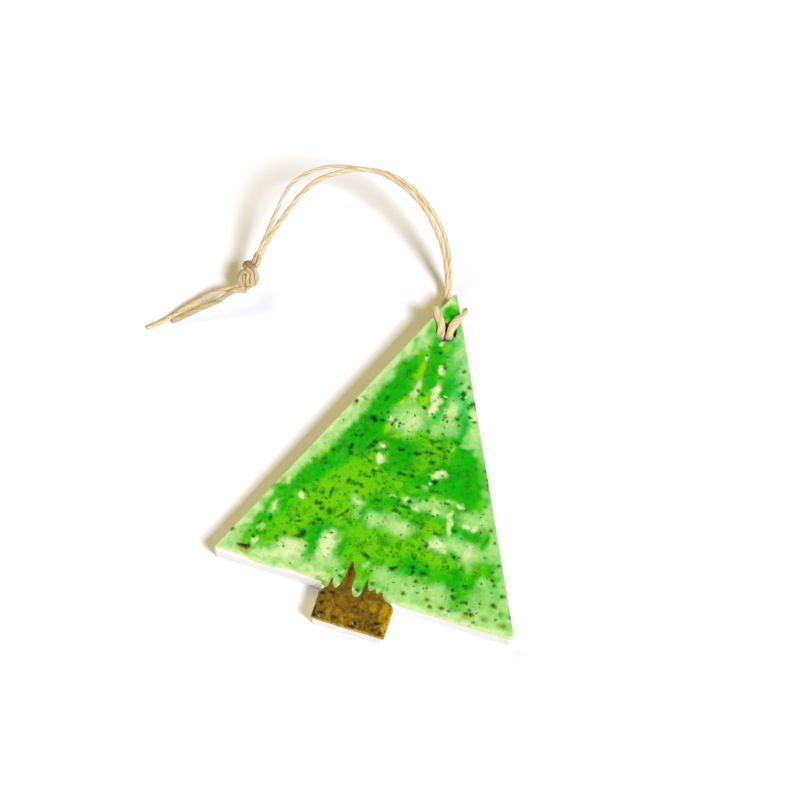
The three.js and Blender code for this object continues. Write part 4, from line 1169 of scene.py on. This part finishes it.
# %% Marks on the brown coat
SHADOW = dabs("""
-2.5 -73 3.6 1.1 88 1; -2.3 -75.4 3 1.2 88 .5; 1.9 -76 5.4 .9 88 .8; -5 -79.2 2.2 .9 0 .8;
-4.4 -80 1.2 .9 0 .6; -7 -79.8 1.6 1 0 .7; .3 -79 5 1 5 .3; -2.6 -77.6 4 1.2 20 .4; 5.6 -83.8 2.4 .8 10 .7;
6.5 -84.9 1.6 .9 0 .6; -2.8 -84.5 1.8 .8 0 .7; 3 -81.5 1 .7 80 .6; 1.6 -82.2 3 .8 0 .4;
-1.1 -82.6 1 .7 0 .6; 6.3 -80.4 3 1 80 .3; -6.9 -85.4 2 1 0 .7; 3.4 -84.8 2 1 0 .4; 8.2 -80.8 1.4 .5 80 .5;
8.4 -78.4 .8 .6 0 .6; 7 -85.8 2 .5 0 .7; 5 -77.8 4 .8 0 .4
""")
COAL = dabs("""
-2.5 -72.6 2 .8 88 .4; -6.5 -82.1 1.2 .9 80 1; -6.9 -80 1.1 .7 0 .8; -7.55 -84.4 2.6 .7 88 1;
-7.3 -85.5 1 .8 0 .8; -6 -84.4 1.5 .7 0 .9; -6 -85.8 1 .3 0 .7; -2.8 -84.6 1.2 .5 0 .7;
-2.8 -81.8 .8 .5 0 .6; -4.9 -79.3 1.3 .6 0 .6; 1 -81 1.2 .6 10 .9; .5 -81.7 .7 .5 0 .5;
5 -81.5 1.1 .5 0 .7; 6.9 -83.1 1.3 .8 20 1; 5.9 -83.9 1.3 .4 0 .7; 4.5 -83.5 .6 .7 0 .6;
3.2 -83.9 .6 .6 0 .6; .7 -84 .4 .4 0 .6; -.5 -83.9 .7 .4 0 .7; 2.2 -84.6 .9 .6 -20 1;
1.5 -85.5 1.8 .7 0 .9; .4 -85.9 .7 .4 0 .8; 6.5 -84.8 1.1 .6 0 .7; 4.6 -85 .5 .5 0 .6;
8.2 -85.2 1.3 .8 80 .9; 9.2 -84.5 .6 .3 90 .7; 8.4 -78.4 .5 .5 0 .6; -1.4 -86 .5 .4 0 .7;
-3 -86.1 .4 .4 0 .7; 3.6 -82.8 .5 .4 0 .5; -4.6 -82.6 .6 .5 0 .4; 2 -78.9 .6 .9 0 .5; -1 -80 .9 .5 0 .4;
6.4 -81.9 .5 .4 0 .5; -6.3 -78.9 .7 .5 0 .5
""")
# Gold patches, and gold lines along the right side and the foot that are painted highlight.
GOLD_AND_RIM_HIGHLIGHT = dabs("""
9.2 -82.5 7.4 .7 90 .9; 8.6 -83.6 2.4 1.1 88 .9; 7.8 -79.8 3.2 1.8 88 .7; 7.4 -82 1.4 1 0 .5;
5.2 -79.8 1.6 2 0 .5; 2.3 -80.5 .8 1 0 .4; -.8 -84.6 1.2 2.4 0 .4; -4.4 -83.4 1 4 0 .35;
2.8 -86.1 9 .5 0 .8; -4.4 -86.1 4 .4 0 .7; 4.6 -78.9 2 1 0 .3; .8 -83 2 .8 0 .4; -2.2 -83 1.4 1.4 0 .3
""")
TAN = dabs("""
-6 -85.2 .7 .7 0 .8; 1.7 -84.7 .6 .5 0 .8; -3.7 -85.1 .5 .4 0 .6; 3 -85.1 .5 .3 0 .4; 8.1 -83.6 .3 .7 0 .4
""")
TIP = dabs("""
-3.2 -71 2 1.2 20 .6; -5.8 -76 1.4 1.2 0 .6; 5.9 -75.9 1.6 .7 0 .4; 4.1 -75.5 .8 .8 0 .4;
-7.6 -79.2 1.4 1 30 .8; -6.6 -77.8 .6 2 0 .4; .3 -78.6 1.6 .5 0 .5; 1.9 -73.7 .7 .8 0 .4;
6.4 -77 .8 .7 0 .7
""")
print("dabs on the brown coat:", sum(len(marks) for marks in (SHADOW, COAL, GOLD_AND_RIM_HIGHLIGHT, TAN, TIP)))

# %% [markdown]
# ## Shape of the brown coat
# The edge rolls over as a quarter circle, and where the strokes lie on the green they stand a little
# higher. Along the right side and the foot, which face the key light, the roll is painted gold as a
# highlight.

# %% Shape of the brown coat
points, faces = plate(brown_outline, [(0.0, 5.4), (0.0, 5.7), (0.0, 6.0)], 0.18)
x, y, z = points.T.copy()
over_green = 0.2 * smoothstep(-80.3, -79.4, y)
depth = np.clip(clearance(np.c_[x, y], brown_outline[0]) / 0.45, 0, 1)
rolled = (0.38 + over_green) * np.sqrt(1 - (1 - depth) ** 2) + glaze_waves(x, y)
z += rolled * (z > 5.9)
fine_x, fine_y = x + 0.1 * ripple(x, y, 0.8, 67), y + 0.1 * ripple(x, y, 0.8, 68)
edge = clearance(np.c_[x, y], brown_outline[0])
# Painted highlight: a gold line on the roll, only along the right side and the foot, which face the key
# light.
side_facing_light = ((x > 2) | (y < -85.4)) * (y < -77.8)
painted_rim_highlight = 0.85 * smoothstep(0.42, 0.15, edge + 0.08 * ripple(x, y, 0.9, 69)) * side_facing_light
thin_edge = smoothstep(0.5, 0.05, edge + 0.1 * ripple(x, y, 0.9, 70))
brown_masks = {
    "thin": 0.75 * thin_edge * smoothstep(-78.6, -77.4, y),
    "shadow": paint(fine_x, fine_y, SHADOW, 0.5),
    # The gold mask holds gold patches and the painted rim highlight.
    "gold_and_highlight": 1 - (1 - paint(fine_x, fine_y, GOLD_AND_RIM_HIGHLIGHT, 0.5)) * (1 - painted_rim_highlight),
    "tip": paint(fine_x, fine_y, TIP, 0.6),
    "coal": paint(fine_x, fine_y, COAL, 0.45),
    "tan": paint(fine_x, fine_y, TAN, 0.4),
}
brown_points = np.c_[x, y, z]
print("brown coat:", len(brown_points), "points")

# %% [markdown]
# ## Brown glaze
# A brown glaze, glossy but with weak highlights. To the eye it is golden brown, olive where it is thin,
# and nearly black in its coarse specks. Its gold patches are partly painted highlight: a bright gold
# line where it rolls over the edges that face the key light.

# %% Brown glaze material
brown, tree, shader = new_material("brushed golden brown glaze", Roughness=0.2, IOR=1.5)
shader.inputs["Specular IOR Level"].default_value = 0.15
at = put(tree, "TexCoord").outputs["Object"]
fine = {"Vector": at, "Scale": 1 / (0.8 * MM), "Detail": 4.0, "Roughness": 0.65}
fine = put(tree, "TexNoise", fine).outputs["Fac"]
uneven = put(tree, "Math", {0: fine, 1: 2.0}, operation="MULTIPLY").outputs[0]
blotch = put(tree, "MapRange", {0: fine, 1: 0.35, 2: 0.65}).outputs[0]
ground = {0: blotch, 6: linear("#5C4200"), 7: linear("#8E6E00")}
ground = put(tree, "Mix", ground, data_type="RGBA").outputs[2]
# The gold wash is partly painted highlight on the rolled edges that face the key light.
for key, code, spread in (
    ("shadow", "#402C00", 0.4), ("thin", "#5A7000", 0.5), ("gold_and_highlight", "#C8A000", 0.4), ("tip", "#708000", 0.4),
    ("coal", "#080602", 0.25), ("tan", "#C8B070", 0.3),
):
    ground = wash(tree, ground, put(tree, "Attribute", attribute_name=key).outputs["Fac"], code, spread)
colour_and_relief(tree, shader, ground, fine, 0.2, 0.04)

brown_coat = build("brown_glaze_coat", to_row(brown_points), faces, brown, brown_masks)
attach(brown_coat, "slab")
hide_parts("brown_glaze")

# %% [markdown]
# ## Floor and light
# The ornament lies on a white floor. A bluish key light comes from the right, low enough to throw a
# soft tan shadow to the left, and a weaker warm light comes from the back left and throws a faint
# bluish one. The floor keeps the shadows, and glows a little to the camera so that its white is white.

# %% Floor
FLOOR_REACH = 4.0
FLOOR_GLOW = 0.03
FLOOR_WHITE = 0.93


def background_rays(tree):
    """1 for what the camera sees straight, in a reflection or through a clear body, else 0."""
    rays = put(tree, "LightPath").outputs
    seen = {0: rays["Is Camera Ray"], 1: rays["Is Glossy Ray"]}
    seen = put(tree, "Math", seen, operation="MAXIMUM").outputs[0]
    return put(tree, "Math", {0: seen, 1: rays["Is Transmission Ray"]}, operation="MAXIMUM").outputs[0]


floor_mesh = bpy.data.meshes.new("floor")
signs = [(-1, -1), (1, -1), (1, 1), (-1, 1)]
floor_mesh.from_pydata([(x * FLOOR_REACH, y * FLOOR_REACH, 0) for x, y in signs], [], [(0, 1, 2, 3)])
floor = bpy.data.objects.new("floor", floor_mesh)
bpy.context.scene.collection.objects.link(floor)
white, tree, shader = new_material("white paper floor", Roughness=1.0)
shader.inputs["Base Color"].default_value = (FLOOR_WHITE, FLOOR_WHITE, FLOOR_WHITE, 1.0)
shader.inputs["Specular IOR Level"].default_value = 0.0
shader.inputs["Emission Color"].default_value = (1.0, 1.0, 1.0, 1.0)
glow = put(tree, "Math", {0: background_rays(tree), 1: FLOOR_GLOW}, operation="MULTIPLY")
tree.links.new(glow.outputs[0], shader.inputs["Emission Strength"])
floor_mesh.materials.append(white)
print("floor:", 2 * FLOOR_REACH, "m wide")

# %% [markdown]
# ## Lamps and world
# Each lamp is given by the direction towards it, by the light that it adds to a level surface, where 1
# turns white into white, and by its width in degrees, which softens its shadow. A sun gives a level
# surface its strength times the cosine of its angle over pi, so the strength is worked back from that.

# %% Lamps and world
AMBIENT = (0.17, 0.16, 0.03, 1.0)
LAMPS = {
    "key": ((0.708, -0.342, 1.0), (0.64, 0.67, 0.91), 16.0),
    "warm": ((-0.633, 0.374, 1.0), (0.22, 0.18, 0.07), 26.0),
    "front": ((-0.05, -0.9, 0.4), (0.06, 0.06, 0.06), 40.0),
}
for name, (towards, share, width) in LAMPS.items():
    towards = Vector(towards).normalized()
    lamp = bpy.data.lights.new(name, "SUN")
    lamp.energy = np.pi * max(share) / towards.z
    lamp.color = [value / max(share) for value in share]
    lamp.angle = np.radians(width)
    holder = bpy.data.objects.new(name, lamp)
    holder.rotation_euler = towards.to_track_quat("Z", "Y").to_euler()
    bpy.context.scene.collection.objects.link(holder)

world = bpy.data.worlds.new("studio")
world.use_nodes = True
tree = world.node_tree
tree.nodes.clear()
seen = background_rays(tree)
ambient = put(tree, "Background", {"Color": AMBIENT, "Strength": 1.0})
backdrop = put(tree, "Background", {"Color": (1.0, 1.0, 1.0, 1.0), "Strength": 1.0})
both = put(tree, "MixShader", {0: seen, 1: ambient.outputs[0], 2: backdrop.outputs[0]})
put(tree, "OutputWorld", {"Surface": both.outputs[0]})
bpy.context.scene.world = world
print("lamps:", len(LAMPS))
